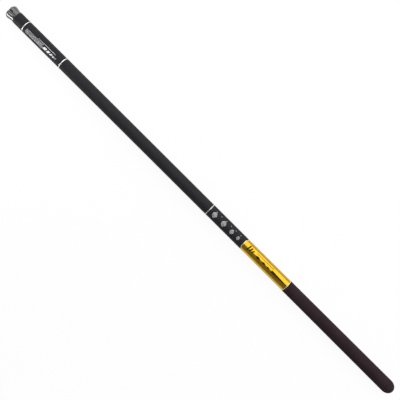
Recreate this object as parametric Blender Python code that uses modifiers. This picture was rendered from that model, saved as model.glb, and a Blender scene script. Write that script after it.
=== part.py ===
"""A telescopic carp pole, closed for carrying, lying along X with its front plug at +X.

Metres, +Z up. The origin is on the floor under the middle of the closed pole. Stations along the
pole are measured forward from the butt end. The radii are worked out from the tip outward: each
section's mouth is bored to grip the cone on the rear of the section inside it.
"""

import math
from dataclasses import dataclass

import bmesh
import bpy

# Whole pole
CLOSED_LENGTH = 1.300
CROWN_LENGTH = 0.024
LABEL_STATION = 0.360
LABEL_LENGTH = 0.144
SIDES = 24
FINE_SIDES = 12

# Clearances
SEAT_GAP = 0.0003
LOCK_GAP = 0.0003
THREAD_GAP = 0.00035

# Skins that lie on the blanks
WRAP_THICKNESS = 0.0004
MOUTH_WRAP_LENGTH = 0.030
INNER_WRAP_LENGTH = 0.018
SPLICE_WRAP_LENGTH = 0.014
FOIL_THICKNESS = 0.0003
SLEEVE_THICKNESS = 0.0005

# Butt section
BUTT_WALL = 0.0010
BORE_TAPER = 0.0002
HANDLE_SWELL = 0.0011

# Butt cap, its threaded ring, seal and pad
DOME_DEPTH = 0.019
DOME_FLAT_RADIUS = 0.004
DOME_STEPS = 9
SKIRT_LENGTH = 0.005
BUMPER_WALL = 0.0032
NECK_UNDERCUT = 0.0015
RING_WALL = 0.0009
RING_FLANGE = 0.0015
RING_LENGTH = 0.0220
SPIGOT_LENGTH = 0.0217
SPIGOT_CHAMFER = 0.0008
CUP_WALL = 0.0032
CUP_DEPTH = 0.012
SEAL_CORD = 0.0011
SEAL_SETBACK = 0.0022
SEAL_SIDES = 10
PAD_THICKNESS = 0.003
PAD_INSET = 0.0006
PAD_DIMPLE_RADIUS = 0.0015
PAD_DIMPLE_DEPTH = 0.0012

# Tip section, solid tip and line connector
TIP_REAR_RADIUS = 0.00375
TIP_WALL = 0.0007
TIP_OVERLAP = 0.050
TIP_SPREAD = 0.00015
SOLID_TIP_LENGTH = 0.400
SPLICE_DEPTH = 0.060
SPLICE_WALL = 0.0006
SOLID_ROOT_RADIUS = 0.0010
SOLID_POINT_RADIUS = 0.00065
SOCKET_DEPTH = 0.006
SOCKET_WALL = 0.00055
SHANK_LENGTH = 0.0045
NOSE_LENGTH = 0.0015
NOTCH_WIDTH = 0.0014
NOTCH_SETBACK = 0.0010
LOCK_SLEEVE_LENGTH = 0.0050
LOCK_SLEEVE_WALL = 0.0005

# Front plug
CROWN_FLARE = 0.00195
NECK_INSET = 0.0003
CROWN_ROUND = 0.0050
CROWN_ROUND_STEPS = 5
FLARE_STEPS = 6
FLARE_SHARE = 0.75
STEM_LENGTH = 0.028
STEM_WALL = 0.0016
RIB_HEIGHT = 0.0008
RIB_WIDTH = 0.0022
RIB_COUNT = 4
NOSE_CAVITY_RADIUS = 0.0055
CROWN_END_WALL = 0.006
TIP_CLEARANCE = 0.004
FLUTE_COUNT = 3
FLUTE_RADIUS = 0.0038
FLUTE_END_DEPTH = 0.0072
FLUTE_TURN = math.radians(12)
FLUTE_SIDES = 20

# Colours and finishes: name, (red, green, blue), roughness, metallic
BLANK_FINISH = ("satin_carbon", (0.034, 0.032, 0.035), 0.38, 0.0)
INNER_FINISH = ("gloss_carbon", (0.012, 0.012, 0.014), 0.20, 0.0)
WRAP_FINISH = ("carbon_wrap", (0.018, 0.018, 0.020), 0.30, 0.0)
GRIP_FINISH = ("soft_grip", (0.030, 0.021, 0.024), 0.78, 0.0)
FOIL_FINISH = ("gold_foil", (0.80, 0.50, 0.05), 0.28, 1.0)
PLUG_FINISH = ("smoke_plug", (0.16, 0.16, 0.17), 0.18, 0.0)
BUMPER_FINISH = ("butt_rubber", (0.032, 0.023, 0.026), 0.75, 0.0)
CORE_FINISH = ("cap_core", (0.02, 0.02, 0.02), 0.45, 0.0)
RING_FINISH = ("threaded_ring", (0.60, 0.61, 0.63), 0.32, 1.0)
SEAL_FINISH = ("seal_rubber", (0.01, 0.01, 0.01), 0.55, 0.0)
PAD_FINISH = ("pad_foam", (0.05, 0.05, 0.055), 0.90, 0.0)
SOLID_TIP_FINISH = ("solid_tip", (0.70, 0.68, 0.62), 0.30, 0.0)
CONNECTOR_FINISH = ("connector", (0.02, 0.02, 0.022), 0.30, 0.0)
LOCK_FINISH = ("lock_sleeve", (0.12, 0.12, 0.125), 0.35, 0.0)


@dataclass
class Section:
    """One hollow section between the butt and the tip, with the cone on its rear.

    Its mouth is set back from the mouth around it, or from the plug's stem.
    """

    name: str
    mouth_wall: float
    wall: float
    growth: float
    overlap: float
    spread: float
    setback: float


SECTION_2 = Section(
    name="section_2",
    mouth_wall=0.0010,
    wall=0.0008,
    growth=0.0019,
    overlap=0.060,
    spread=0.0002,
    setback=0.006,
)
SECTION_3 = Section(
    name="section_3",
    mouth_wall=0.0011,
    wall=0.0009,
    growth=0.0019,
    overlap=0.070,
    spread=0.0002,
    setback=0.006,
)
SECTION_4 = Section(
    name="section_4",
    mouth_wall=0.0012,
    wall=0.0010,
    growth=0.0016,
    overlap=0.080,
    spread=0.0002,
    setback=0.006,
)


def mouth_bore(rear_radius, spread):
    """The bore at a mouth that grips a cone of this rear radius and spread."""
    return rear_radius - spread + LOCK_GAP


def mouth_radius(section, bore):
    return bore + section.mouth_wall


def rear_radius(section, bore):
    return mouth_radius(section, bore) + section.growth + section.spread


# Radii, from the tip outward
BORE_2 = mouth_bore(TIP_REAR_RADIUS, TIP_SPREAD)
REAR_2 = rear_radius(SECTION_2, BORE_2)
BORE_3 = mouth_bore(REAR_2, SECTION_2.spread)
REAR_3 = rear_radius(SECTION_3, BORE_3)
BORE_4 = mouth_bore(REAR_3, SECTION_3.spread)
REAR_4 = rear_radius(SECTION_4, BORE_4)
BUTT_MOUTH_BORE = mouth_bore(REAR_4, SECTION_4.spread)
BUTT_LOCK_BORE = BUTT_MOUTH_BORE + SECTION_4.spread
LABEL_BORE = BUTT_LOCK_BORE + BORE_TAPER
REAR_BORE = LABEL_BORE + HANDLE_SWELL
BLANK_RADIUS = LABEL_BORE + BUTT_WALL + SEAT_GAP + FOIL_THICKNESS
HANDLE_RADIUS = REAR_BORE + BUTT_WALL + SEAT_GAP + SLEEVE_THICKNESS
CROWN_RADIUS = BLANK_RADIUS + CROWN_FLARE
CROWN_NECK_RADIUS = BLANK_RADIUS - NECK_INSET
RING_RADIUS = REAR_BORE - SEAT_GAP
RING_BORE = RING_RADIUS - RING_WALL
SPIGOT_RADIUS = RING_BORE - THREAD_GAP
SOLID_SOCKET_RADIUS = SOLID_ROOT_RADIUS + SEAT_GAP
TIP_FRONT_RADIUS = SOLID_SOCKET_RADIUS + SPLICE_WALL
CONNECTOR_BORE = SOLID_POINT_RADIUS + SEAT_GAP
SHANK_RADIUS = CONNECTOR_BORE + SOCKET_WALL
LOCK_BORE = SHANK_RADIUS + SEAT_GAP
LOCK_RADIUS = LOCK_BORE + LOCK_SLEEVE_WALL

# Stations along the pole
MOUTH_STATION = CLOSED_LENGTH - CROWN_LENGTH
LABEL_FRONT = LABEL_STATION + LABEL_LENGTH
SKIRT_STATION = DOME_DEPTH + SKIRT_LENGTH
SHOULDER_STATION = SKIRT_STATION + SEAT_GAP
BLANK_REAR = SHOULDER_STATION + RING_FLANGE + SEAT_GAP
SPIGOT_FRONT = SHOULDER_STATION + SPIGOT_LENGTH
PAD_REAR = SPIGOT_FRONT + SEAT_GAP
PAD_FACE = PAD_REAR + PAD_THICKNESS
SECTION_REAR = PAD_FACE + SEAT_GAP
CROWN_REAR = MOUTH_STATION + SEAT_GAP
STEM_REAR = MOUTH_STATION - STEM_LENGTH
MOUTH_4 = STEM_REAR - SECTION_4.setback
MOUTH_3 = MOUTH_4 - SECTION_3.setback
MOUTH_2 = MOUTH_3 - SECTION_2.setback
CAVITY_END = CLOSED_LENGTH - CROWN_END_WALL
CONNECTOR_FRONT = CAVITY_END - TIP_CLEARANCE
NOSE_REAR = CONNECTOR_FRONT - NOSE_LENGTH
SHANK_REAR = NOSE_REAR - SHANK_LENGTH
CONNECTOR_REAR = SHANK_REAR - SOCKET_DEPTH
SOLID_FRONT = SHANK_REAR - SEAT_GAP
SOLID_REAR = SOLID_FRONT - SOLID_TIP_LENGTH
TIP_BLANK_FRONT = SOLID_REAR + SPLICE_DEPTH

AXIS_HEIGHT = max(CROWN_RADIUS, HANDLE_RADIUS) * math.cos(math.pi / SIDES)


def handle_radius(station):
    """The outer radius between the front of the label and the cap, where the handle swells."""
    share = (LABEL_FRONT - station) / (LABEL_FRONT - SHOULDER_STATION)
    return BLANK_RADIUS + (HANDLE_RADIUS - BLANK_RADIUS) * share


def dome(radius, depth, rear, flat_radius):
    """(station, radius) points of a half ellipse, from its full radius back to a flat at rear."""
    first = math.asin(flat_radius / radius)
    reach = depth / math.cos(first)
    points = []
    for step in range(DOME_STEPS + 1):
        angle = math.pi / 2 + (first - math.pi / 2) * step / DOME_STEPS
        points.append((rear + depth - reach * math.cos(angle), radius * math.sin(angle)))
    return points


def clear_scene():
    for obj in list(bpy.data.objects):
        bpy.data.objects.remove(obj, do_unlink=True)


def new_collection(name):
    collection = bpy.data.collections.new(name)
    bpy.context.scene.collection.children.link(collection)
    return collection


def make_material(finish):
    name, colour, roughness, metallic = finish
    material = bpy.data.materials.new(name)
    material.use_nodes = True
    shader = material.node_tree.nodes["Principled BSDF"]
    shader.inputs["Base Color"].default_value = (*colour, 1.0)
    shader.inputs["Roughness"].default_value = roughness
    shader.inputs["Metallic"].default_value = metallic
    material.diffuse_color = (*colour, 1.0)
    return material


def profile_mesh(name, outline, closed):
    """A mesh of edges in the XZ plane, through (station, radius) points."""
    mesh = bpy.data.meshes.new(name)
    bm = bmesh.new()
    verts = [bm.verts.new((radius, 0.0, station)) for station, radius in outline]
    for first, second in zip(verts, verts[1:]):
        bm.edges.new((first, second))
    if closed:
        bm.edges.new((verts[-1], verts[0]))
    bm.to_mesh(mesh)
    bm.free()
    return mesh


def settle(obj):
    """Turns an object's modifiers into its mesh, smooth where it is round and sharp at its corners."""
    bpy.context.view_layer.update()
    graph = bpy.context.evaluated_depsgraph_get()
    mesh = bpy.data.meshes.new_from_object(obj.evaluated_get(graph))
    mesh.name = obj.name
    obj.modifiers.clear()
    obj.data = mesh
    mesh.shade_smooth()
    mesh.set_sharp_from_angle(angle=math.radians(32))


class Pole:
    """The collections and the axis that every piece of the pole is placed on."""

    def __init__(self):
        self.pieces = new_collection("carp_pole")
        self.cutters = new_collection("carp_pole_cutters")
        self.axis = bpy.data.objects.new("pole_axis", None)
        self.axis.location = (-CLOSED_LENGTH / 2, 0.0, AXIS_HEIGHT)
        self.axis.rotation_euler = (0.0, math.pi / 2, 0.0)
        self.pieces.objects.link(self.axis)

    def turned(self, name, outline, finish, station, sides=SIDES, hollow=True):
        """A piece turned about the pole's axis, with one flat facing down.

        outline runs from front to rear on the outside and, where the piece is hollow, back again on
        the inside. Its stations are measured along the pole, and the origin is put at station.
        """
        local = [(along - station, radius) for along, radius in outline]
        obj = bpy.data.objects.new(name, profile_mesh(name, local, hollow))
        self.pieces.objects.link(obj)
        obj.parent = self.axis
        obj.location = (0.0, 0.0, station)
        obj.rotation_euler = (0.0, 0.0, math.pi / sides)
        screw = obj.modifiers.new("turn", "SCREW")
        screw.axis = "Z"
        screw.angle = 2 * math.pi
        screw.steps = sides
        screw.render_steps = sides
        screw.use_merge_vertices = True
        screw.merge_threshold = 0.00001
        settle(obj)
        obj.data.materials.append(make_material(finish))
        return obj

    def cut(self, obj, cutter):
        boolean = obj.modifiers.new("cut", "BOOLEAN")
        boolean.operation = "DIFFERENCE"
        boolean.solver = "EXACT"
        boolean.object = cutter

    def cutter(self, name, mesh):
        obj = bpy.data.objects.new(name, mesh)
        self.cutters.objects.link(obj)
        obj.parent = self.axis
        obj.hide_render = True
        obj.display_type = "WIRE"
        return obj


def butt_section(pole):
    """The outer blank: a parallel forepart, a swelling handle and seats for its three skins."""
    wrap_seat = BLANK_RADIUS - WRAP_THICKNESS - SEAT_GAP
    wrap_end = MOUTH_STATION - MOUTH_WRAP_LENGTH - SEAT_GAP
    foil_depth = FOIL_THICKNESS + SEAT_GAP
    sleeve_depth = SLEEVE_THICKNESS + SEAT_GAP
    seat_front = LABEL_FRONT + SEAT_GAP
    outside = [
        (MOUTH_STATION, wrap_seat),
        (wrap_end, wrap_seat),
        (wrap_end, BLANK_RADIUS),
        (seat_front, BLANK_RADIUS),
        (seat_front, BLANK_RADIUS - foil_depth),
        (LABEL_STATION, handle_radius(LABEL_STATION) - foil_depth),
        (LABEL_STATION, handle_radius(LABEL_STATION) - sleeve_depth),
        (BLANK_REAR, handle_radius(BLANK_REAR) - sleeve_depth),
    ]
    inside = [
        (BLANK_REAR, REAR_BORE),
        (SECTION_REAR, REAR_BORE),
        (LABEL_FRONT, LABEL_BORE),
        (MOUTH_STATION - SECTION_4.overlap, BUTT_LOCK_BORE),
        (MOUTH_STATION, BUTT_MOUTH_BORE),
    ]
    pole.turned("butt_section", outside + inside, BLANK_FINISH, BLANK_REAR)


def skins(pole):
    """The wrap round the butt's mouth, the gold foil and the grip, all flush with the blank."""
    wrap_rear = MOUTH_STATION - MOUTH_WRAP_LENGTH
    wrap_bore = BLANK_RADIUS - WRAP_THICKNESS
    wrap = [
        (MOUTH_STATION, BLANK_RADIUS),
        (wrap_rear, BLANK_RADIUS),
        (wrap_rear, wrap_bore),
        (MOUTH_STATION, wrap_bore),
    ]
    pole.turned("butt_mouth_wrap", wrap, WRAP_FINISH, wrap_rear)

    foil_rear = handle_radius(LABEL_STATION + SEAT_GAP / 2)
    foil_start = LABEL_STATION + SEAT_GAP / 2
    foil = [
        (LABEL_FRONT, BLANK_RADIUS),
        (foil_start, foil_rear),
        (foil_start, foil_rear - FOIL_THICKNESS),
        (LABEL_FRONT, BLANK_RADIUS - FOIL_THICKNESS),
    ]
    pole.turned("foil_band", foil, FOIL_FINISH, foil_start)

    sleeve_front = LABEL_STATION - SEAT_GAP / 2
    front_radius = handle_radius(sleeve_front)
    sleeve = [
        (sleeve_front, front_radius),
        (SHOULDER_STATION, HANDLE_RADIUS),
        (SHOULDER_STATION, HANDLE_RADIUS - SLEEVE_THICKNESS),
        (sleeve_front, front_radius - SLEEVE_THICKNESS),
    ]
    pole.turned("grip_sleeve", sleeve, GRIP_FINISH, SHOULDER_STATION)


def threaded_ring(pole):
    """The ring glued in the butt, whose flange covers the end of the blank."""
    barrel_front = SHOULDER_STATION + RING_FLANGE + RING_LENGTH
    flange_front = SHOULDER_STATION + RING_FLANGE
    flange_radius = HANDLE_RADIUS - SLEEVE_THICKNESS - SEAT_GAP
    outline = [
        (barrel_front, RING_RADIUS),
        (flange_front, RING_RADIUS),
        (flange_front, flange_radius),
        (SHOULDER_STATION, flange_radius),
        (SHOULDER_STATION, RING_BORE),
        (barrel_front, RING_BORE),
    ]
    pole.turned("threaded_ring", outline, RING_FINISH, SHOULDER_STATION)


def butt_cap(pole):
    """The screwed cap: core, rubber bumper moulded on it, seal in its groove and pad in its cup."""
    head_radius = HANDLE_RADIUS - BUMPER_WALL - SEAT_GAP
    head_depth = DOME_DEPTH - BUMPER_WALL - SEAT_GAP
    neck_radius = head_radius - NECK_UNDERCUT
    cup_radius = SPIGOT_RADIUS - CUP_WALL
    cup_floor = SPIGOT_FRONT - CUP_DEPTH
    groove_rear = SHOULDER_STATION + SEAL_SETBACK
    groove_front = groove_rear + SEAL_CORD + 2 * SEAT_GAP
    groove_radius = SPIGOT_RADIUS - SEAL_CORD - SEAT_GAP
    head_nose = head_radius / 5

    core = [
        (cup_floor, 0.0),
        (cup_floor, cup_radius),
        (SPIGOT_FRONT, cup_radius),
        (SPIGOT_FRONT, SPIGOT_RADIUS - SPIGOT_CHAMFER),
        (SPIGOT_FRONT - SPIGOT_CHAMFER, SPIGOT_RADIUS),
        (groove_front, SPIGOT_RADIUS),
        (groove_front, groove_radius),
        (groove_rear, groove_radius),
        (groove_rear, SPIGOT_RADIUS),
        (SHOULDER_STATION, SPIGOT_RADIUS),
        (SHOULDER_STATION, neck_radius),
        (DOME_DEPTH, neck_radius),
    ]
    core += dome(head_radius, head_depth, DOME_DEPTH - head_depth, head_nose)
    core.append((core[-1][0], 0.0))
    pole.turned("cap_core", core, CORE_FINISH, SHOULDER_STATION, hollow=False)

    cavity_radius = head_radius + SEAT_GAP
    cavity_depth = head_depth + SEAT_GAP
    lip_rear = DOME_DEPTH + SEAT_GAP
    lip_radius = neck_radius + SEAT_GAP
    outer_dome = dome(HANDLE_RADIUS, DOME_DEPTH, 0.0, DOME_FLAT_RADIUS)
    inner_dome = dome(cavity_radius, cavity_depth, DOME_DEPTH - cavity_depth, head_nose)
    bumper = [(inner_dome[-1][0], 0.0)]
    bumper += reversed(inner_dome)
    bumper += [(lip_rear, cavity_radius), (lip_rear, lip_radius), (SKIRT_STATION, lip_radius)]
    bumper.append((SKIRT_STATION, HANDLE_RADIUS))
    bumper += outer_dome
    bumper.append((outer_dome[-1][0], 0.0))
    pole.turned("cap_bumper", bumper, BUMPER_FINISH, 0.0, hollow=False)

    seal_ring = []
    seal_radius = SPIGOT_RADIUS - SEAL_CORD / 2
    seal_station = groove_rear + SEAT_GAP + SEAL_CORD / 2
    for step in range(SEAL_SIDES):
        angle = -2 * math.pi * step / SEAL_SIDES
        along = seal_station + SEAL_CORD / 2 * math.sin(angle)
        seal_ring.append((along, seal_radius + SEAL_CORD / 2 * math.cos(angle)))
    pole.turned("cap_seal", seal_ring, SEAL_FINISH, seal_station)

    stub_radius = cup_radius - SEAT_GAP
    stub_rear = cup_floor + SEAT_GAP
    pad_radius = RING_BORE - PAD_INSET
    pad = [
        (PAD_FACE - PAD_DIMPLE_DEPTH, 0.0),
        (PAD_FACE - PAD_DIMPLE_DEPTH, PAD_DIMPLE_RADIUS),
        (PAD_FACE, PAD_DIMPLE_RADIUS + PAD_DIMPLE_DEPTH),
        (PAD_FACE, pad_radius),
        (PAD_REAR, pad_radius),
        (PAD_REAR, stub_radius),
        (stub_rear, stub_radius),
        (stub_rear, 0.0),
    ]
    pole.turned("cap_pad", pad, PAD_FINISH, PAD_REAR, hollow=False)


def inner_section(pole, section, mouth, bore, inner_overlap, inner_spread):
    """A tapered section with a lock cone on its rear, and the wrap round its mouth."""
    front = mouth_radius(section, bore)
    rear = rear_radius(section, bore)
    cone_front = SECTION_REAR + section.overlap
    outline = [
        (mouth, front),
        (cone_front, rear - section.spread),
        (SECTION_REAR, rear),
        (SECTION_REAR, rear - section.wall),
        (cone_front, rear - section.spread - section.wall),
        (mouth - inner_overlap, bore + inner_spread),
        (mouth, bore),
    ]
    pole.turned(section.name, outline, INNER_FINISH, SECTION_REAR)

    wrap_bore = front + SEAT_GAP + section.growth * INNER_WRAP_LENGTH / (mouth - cone_front)
    wrap_rear = mouth - INNER_WRAP_LENGTH
    wrap = [
        (mouth, wrap_bore + WRAP_THICKNESS),
        (wrap_rear, wrap_bore + WRAP_THICKNESS),
        (wrap_rear, wrap_bore),
        (mouth, wrap_bore),
    ]
    pole.turned(section.name + "_mouth_wrap", wrap, WRAP_FINISH, wrap_rear)


def tip(pole):
    """The hollow tip section, the solid tip glued into it and the wrap over the splice."""
    cone_front = SECTION_REAR + TIP_OVERLAP
    cone_radius = TIP_REAR_RADIUS - TIP_SPREAD
    splice_rear = TIP_BLANK_FRONT - SPLICE_DEPTH - SEAT_GAP
    blank = [
        (TIP_BLANK_FRONT, TIP_FRONT_RADIUS),
        (cone_front, cone_radius),
        (SECTION_REAR, TIP_REAR_RADIUS),
        (SECTION_REAR, TIP_REAR_RADIUS - TIP_WALL),
        (cone_front, cone_radius - TIP_WALL),
        (splice_rear, SOLID_SOCKET_RADIUS),
        (TIP_BLANK_FRONT, SOLID_SOCKET_RADIUS),
    ]
    pole.turned("tip_section", blank, INNER_FINISH, SECTION_REAR, sides=FINE_SIDES)

    solid = [
        (SOLID_FRONT, 0.0),
        (SOLID_FRONT, SOLID_POINT_RADIUS),
        (CONNECTOR_REAR - SEAT_GAP, SOLID_POINT_RADIUS),
        (TIP_BLANK_FRONT, SOLID_ROOT_RADIUS),
        (SOLID_REAR, SOLID_ROOT_RADIUS),
        (SOLID_REAR, 0.0),
    ]
    pole.turned("solid_tip", solid, SOLID_TIP_FINISH, SOLID_REAR, sides=FINE_SIDES, hollow=False)

    slope = (cone_radius - TIP_FRONT_RADIUS) / (TIP_BLANK_FRONT - cone_front)
    wrap_bore = TIP_FRONT_RADIUS + SEAT_GAP + slope * SPLICE_WRAP_LENGTH
    wrap_rear = TIP_BLANK_FRONT - SPLICE_WRAP_LENGTH
    wrap = [
        (TIP_BLANK_FRONT, wrap_bore + WRAP_THICKNESS),
        (wrap_rear, wrap_bore + WRAP_THICKNESS),
        (wrap_rear, wrap_bore),
        (TIP_BLANK_FRONT, wrap_bore),
    ]
    pole.turned("splice_wrap", wrap, WRAP_FINISH, wrap_rear, sides=FINE_SIDES)


def line_connector(pole):
    """The socket glued on the tip, with a notch for the line's loop, and the sleeve that locks it."""
    body = [
        (CONNECTOR_FRONT, 0.0),
        (CONNECTOR_FRONT, LOCK_BORE),
        (CONNECTOR_FRONT - NOSE_LENGTH / 2, LOCK_RADIUS),
        (NOSE_REAR, LOCK_RADIUS),
        (NOSE_REAR, SHANK_RADIUS),
        (CONNECTOR_REAR, SHANK_RADIUS),
        (CONNECTOR_REAR, CONNECTOR_BORE),
        (SHANK_REAR, CONNECTOR_BORE),
        (SHANK_REAR, 0.0),
    ]
    name = "line_connector"
    piece = pole.turned(name, body, CONNECTOR_FINISH, SHANK_REAR, sides=FINE_SIDES, hollow=False)

    bm = bmesh.new()
    bmesh.ops.create_cube(bm, size=1.0)
    reach = 3 * SHANK_RADIUS
    bmesh.ops.scale(bm, vec=(reach, reach, NOTCH_WIDTH), verts=bm.verts)
    mesh = bpy.data.meshes.new("line_notch")
    bm.to_mesh(mesh)
    bm.free()
    notch = pole.cutter("line_notch", mesh)
    notch.location = (-reach / 2, 0.0, NOSE_REAR - NOTCH_SETBACK - NOTCH_WIDTH / 2)
    pole.cut(piece, notch)
    settle(piece)

    sleeve_front = NOSE_REAR - SEAT_GAP
    sleeve_rear = sleeve_front - LOCK_SLEEVE_LENGTH
    sleeve = [
        (sleeve_front, LOCK_RADIUS),
        (sleeve_rear, LOCK_RADIUS),
        (sleeve_rear, LOCK_BORE),
        (sleeve_front, LOCK_BORE),
    ]
    pole.turned("lock_sleeve", sleeve, LOCK_FINISH, sleeve_rear, sides=FINE_SIDES)


def crown_outline():
    """The outside of the crown: a rounded end, then an S-shaped flare down to the neck."""
    points = []
    centre = CLOSED_LENGTH - CROWN_ROUND
    for step in range(CROWN_ROUND_STEPS + 1):
        angle = math.pi / 2 * step / CROWN_ROUND_STEPS
        along = centre + CROWN_ROUND * math.cos(angle)
        points.append((along, CROWN_RADIUS - CROWN_ROUND + CROWN_ROUND * math.sin(angle)))
    flare_length = (centre - CROWN_REAR) * FLARE_SHARE
    for step in range(1, FLARE_STEPS + 1):
        share = step / FLARE_STEPS
        drop = (1 - math.cos(math.pi * share)) / 2
        radius = CROWN_RADIUS - (CROWN_RADIUS - CROWN_NECK_RADIUS) * drop
        points.append((centre - flare_length * share, radius))
    points.append((CROWN_REAR, CROWN_NECK_RADIUS))
    return points


def stem_outline(stem_radius):
    """The outside of the stem, with round ribs that wipe the bore of the mouth."""
    points = [(CROWN_REAR, stem_radius)]
    pitch = STEM_LENGTH / RIB_COUNT
    for rib in range(RIB_COUNT):
        middle = MOUTH_STATION - pitch * (rib + 0.5)
        points.append((middle + RIB_WIDTH / 2, stem_radius))
        points.append((middle + RIB_WIDTH / 6, stem_radius + RIB_HEIGHT))
        points.append((middle - RIB_WIDTH / 6, stem_radius + RIB_HEIGHT))
        points.append((middle - RIB_WIDTH / 2, stem_radius))
    points.append((STEM_REAR, stem_radius))
    return points


def front_plug(pole):
    """The plug that shuts the mouth: a hollow ribbed stem and a crown with finger flutes."""
    stem_radius = BUTT_MOUTH_BORE - SEAT_GAP - RIB_HEIGHT
    stem_bore = stem_radius - STEM_WALL
    outline = [(CLOSED_LENGTH, 0.0)]
    outline += crown_outline()
    outline += stem_outline(stem_radius)
    outline += [
        (STEM_REAR, stem_bore),
        (MOUTH_STATION, stem_bore),
        (MOUTH_STATION + STEM_WALL, NOSE_CAVITY_RADIUS),
        (CAVITY_END, NOSE_CAVITY_RADIUS),
        (CAVITY_END, 0.0),
    ]
    plug = pole.turned("front_plug", outline, PLUG_FINISH, MOUTH_STATION, hollow=False)

    floor_radius = CROWN_RADIUS - FLUTE_END_DEPTH
    front_radius = floor_radius + FLUTE_RADIUS
    rear_radius_out = CROWN_NECK_RADIUS + FLUTE_RADIUS
    run = CLOSED_LENGTH - CROWN_REAR
    lean = math.atan2(rear_radius_out - front_radius, run)
    for flute in range(FLUTE_COUNT):
        bm = bmesh.new()
        bmesh.ops.create_cone(
            bm,
            cap_ends=True,
            segments=FLUTE_SIDES,
            radius1=FLUTE_RADIUS,
            radius2=FLUTE_RADIUS,
            depth=3 * run,
        )
        mesh = bpy.data.meshes.new(f"flute_{flute + 1}")
        bm.to_mesh(mesh)
        bm.free()
        turn = math.pi - FLUTE_TURN + 2 * math.pi * flute / FLUTE_COUNT
        middle = (front_radius + rear_radius_out) / 2
        cutter = pole.cutter(f"flute_{flute + 1}", mesh)
        along = (CLOSED_LENGTH + CROWN_REAR) / 2
        cutter.location = (middle * math.cos(turn), middle * math.sin(turn), along)
        cutter.rotation_euler = (0.0, -lean, turn)
        pole.cut(plug, cutter)
    settle(plug)


def main():
    clear_scene()
    pole = Pole()
    butt_section(pole)
    skins(pole)
    threaded_ring(pole)
    butt_cap(pole)
    inner_section(pole, SECTION_4, MOUTH_4, BORE_4, SECTION_3.overlap, SECTION_3.spread)
    inner_section(pole, SECTION_3, MOUTH_3, BORE_3, SECTION_2.overlap, SECTION_2.spread)
    inner_section(pole, SECTION_2, MOUTH_2, BORE_2, TIP_OVERLAP, TIP_SPREAD)
    tip(pole)
    line_connector(pole)
    front_plug(pole)

    for outer, mouth, overlap in (
        ("butt_section", MOUTH_STATION, SECTION_4.overlap),
        ("section_4", MOUTH_4, SECTION_3.overlap),
        ("section_3", MOUTH_3, SECTION_2.overlap),
        ("section_2", MOUTH_2, TIP_OVERLAP),
    ):
        travel = mouth - overlap - SECTION_REAR
        print(f"{outer}: the section inside slides {travel * 1000:.1f} mm before it locks")


main()
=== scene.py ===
"""The look of a telescopic carp pole, closed for carrying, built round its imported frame.

Metres, in the frame's own axes: the pole lies along X with its front plug at +X, +Z is up and the
floor is at zero. A turn round the pole is an angle from straight up towards +Y. Each sub-assembly
is a class whose fields are its sizes, and each finish is a frozen dataclass.
"""

import functools
import logging
import math
from collections.abc import Callable
from dataclasses import dataclass
from enum import Enum

import bmesh
import bpy
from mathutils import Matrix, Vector


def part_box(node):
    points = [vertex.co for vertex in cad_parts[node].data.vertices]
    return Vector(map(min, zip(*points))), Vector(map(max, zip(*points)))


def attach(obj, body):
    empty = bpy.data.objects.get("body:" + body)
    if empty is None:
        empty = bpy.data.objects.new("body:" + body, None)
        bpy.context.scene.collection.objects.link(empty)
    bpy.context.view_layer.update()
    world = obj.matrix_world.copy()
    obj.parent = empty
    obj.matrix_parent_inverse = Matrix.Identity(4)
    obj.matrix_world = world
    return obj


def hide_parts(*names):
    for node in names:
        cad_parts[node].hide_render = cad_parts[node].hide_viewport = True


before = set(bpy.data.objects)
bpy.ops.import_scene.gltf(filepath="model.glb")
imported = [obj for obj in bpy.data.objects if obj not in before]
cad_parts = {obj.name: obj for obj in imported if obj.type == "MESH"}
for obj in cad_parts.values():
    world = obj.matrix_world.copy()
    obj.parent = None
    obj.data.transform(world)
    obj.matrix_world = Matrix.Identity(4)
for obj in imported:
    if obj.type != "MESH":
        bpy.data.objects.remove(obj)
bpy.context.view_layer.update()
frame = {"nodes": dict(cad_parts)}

LOG = logging.getLogger("carp_pole")

MM = 0.001
ROUND_SIDES = 128
FINE_SIDES = 48
ON_AXIS = 1e-7
SAME_PLACE = 2e-5
SHARP_ANGLE = math.radians(38)
NOISE_SPAN = (0.3, 0.7)  # the values between which noise mostly lies
EDGE_SHARE = 0.4  # the most of an edge that a rounding takes
FADE_RATE = 3  # a thread reaches its full height in 1 / FADE_RATE of a turn

THREAD_PITCH = 2 * MM
THREAD_HEIGHT = 0.18 * MM
THREAD_WIDTH = 1.1 * MM
THREAD_CREST = 0.16  # half of its crest, as a share of its width
THREAD_SINK = 0.08 * MM
THREAD_LEAST = 0.02  # the share of its height that is left at its ends

Colour = tuple[float, float, float]
Place = tuple[float, float, float]
Outline = list[tuple[float, float]]
Edge = tuple[tuple[float, float], ...]
RingShape = Callable[[float, float, float], float]


class Body(Enum):
    """The bodies of the frame that the pieces ride on."""

    BUTT = "butt"
    FOURTH = "fourth"
    THIRD = "third"
    SECOND = "second"
    TIP = "tip"
    LINE_LOCK = "line_lock"
    PLUG = "plug"
    SEAL = "seal"
    CAP = "cap"


class Slot(Enum):
    """The material slots of the record that the finishes belong to."""

    SATIN_BLANK = "satin_blank"
    SATIN_WRAP = "satin_wrap"
    GOLD_FOIL = "gold_foil"
    SOFT_GRIP = "soft_grip"
    RING_ALUMINIUM = "ring_aluminium"
    CAP_PLASTIC = "cap_plastic"
    BUTT_RUBBER = "butt_rubber"
    PAD_FOAM = "pad_foam"
    SEAL_RUBBER = "seal_rubber"
    GLOSS_BLANK = "gloss_blank"
    WHIPPING = "whipping"
    SOLID_TIP = "solid_tip"
    CONNECTOR_PLASTIC = "connector_plastic"
    LOCK_PLASTIC = "lock_plastic"
    SMOKE_PLUG = "smoke_plug"


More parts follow.
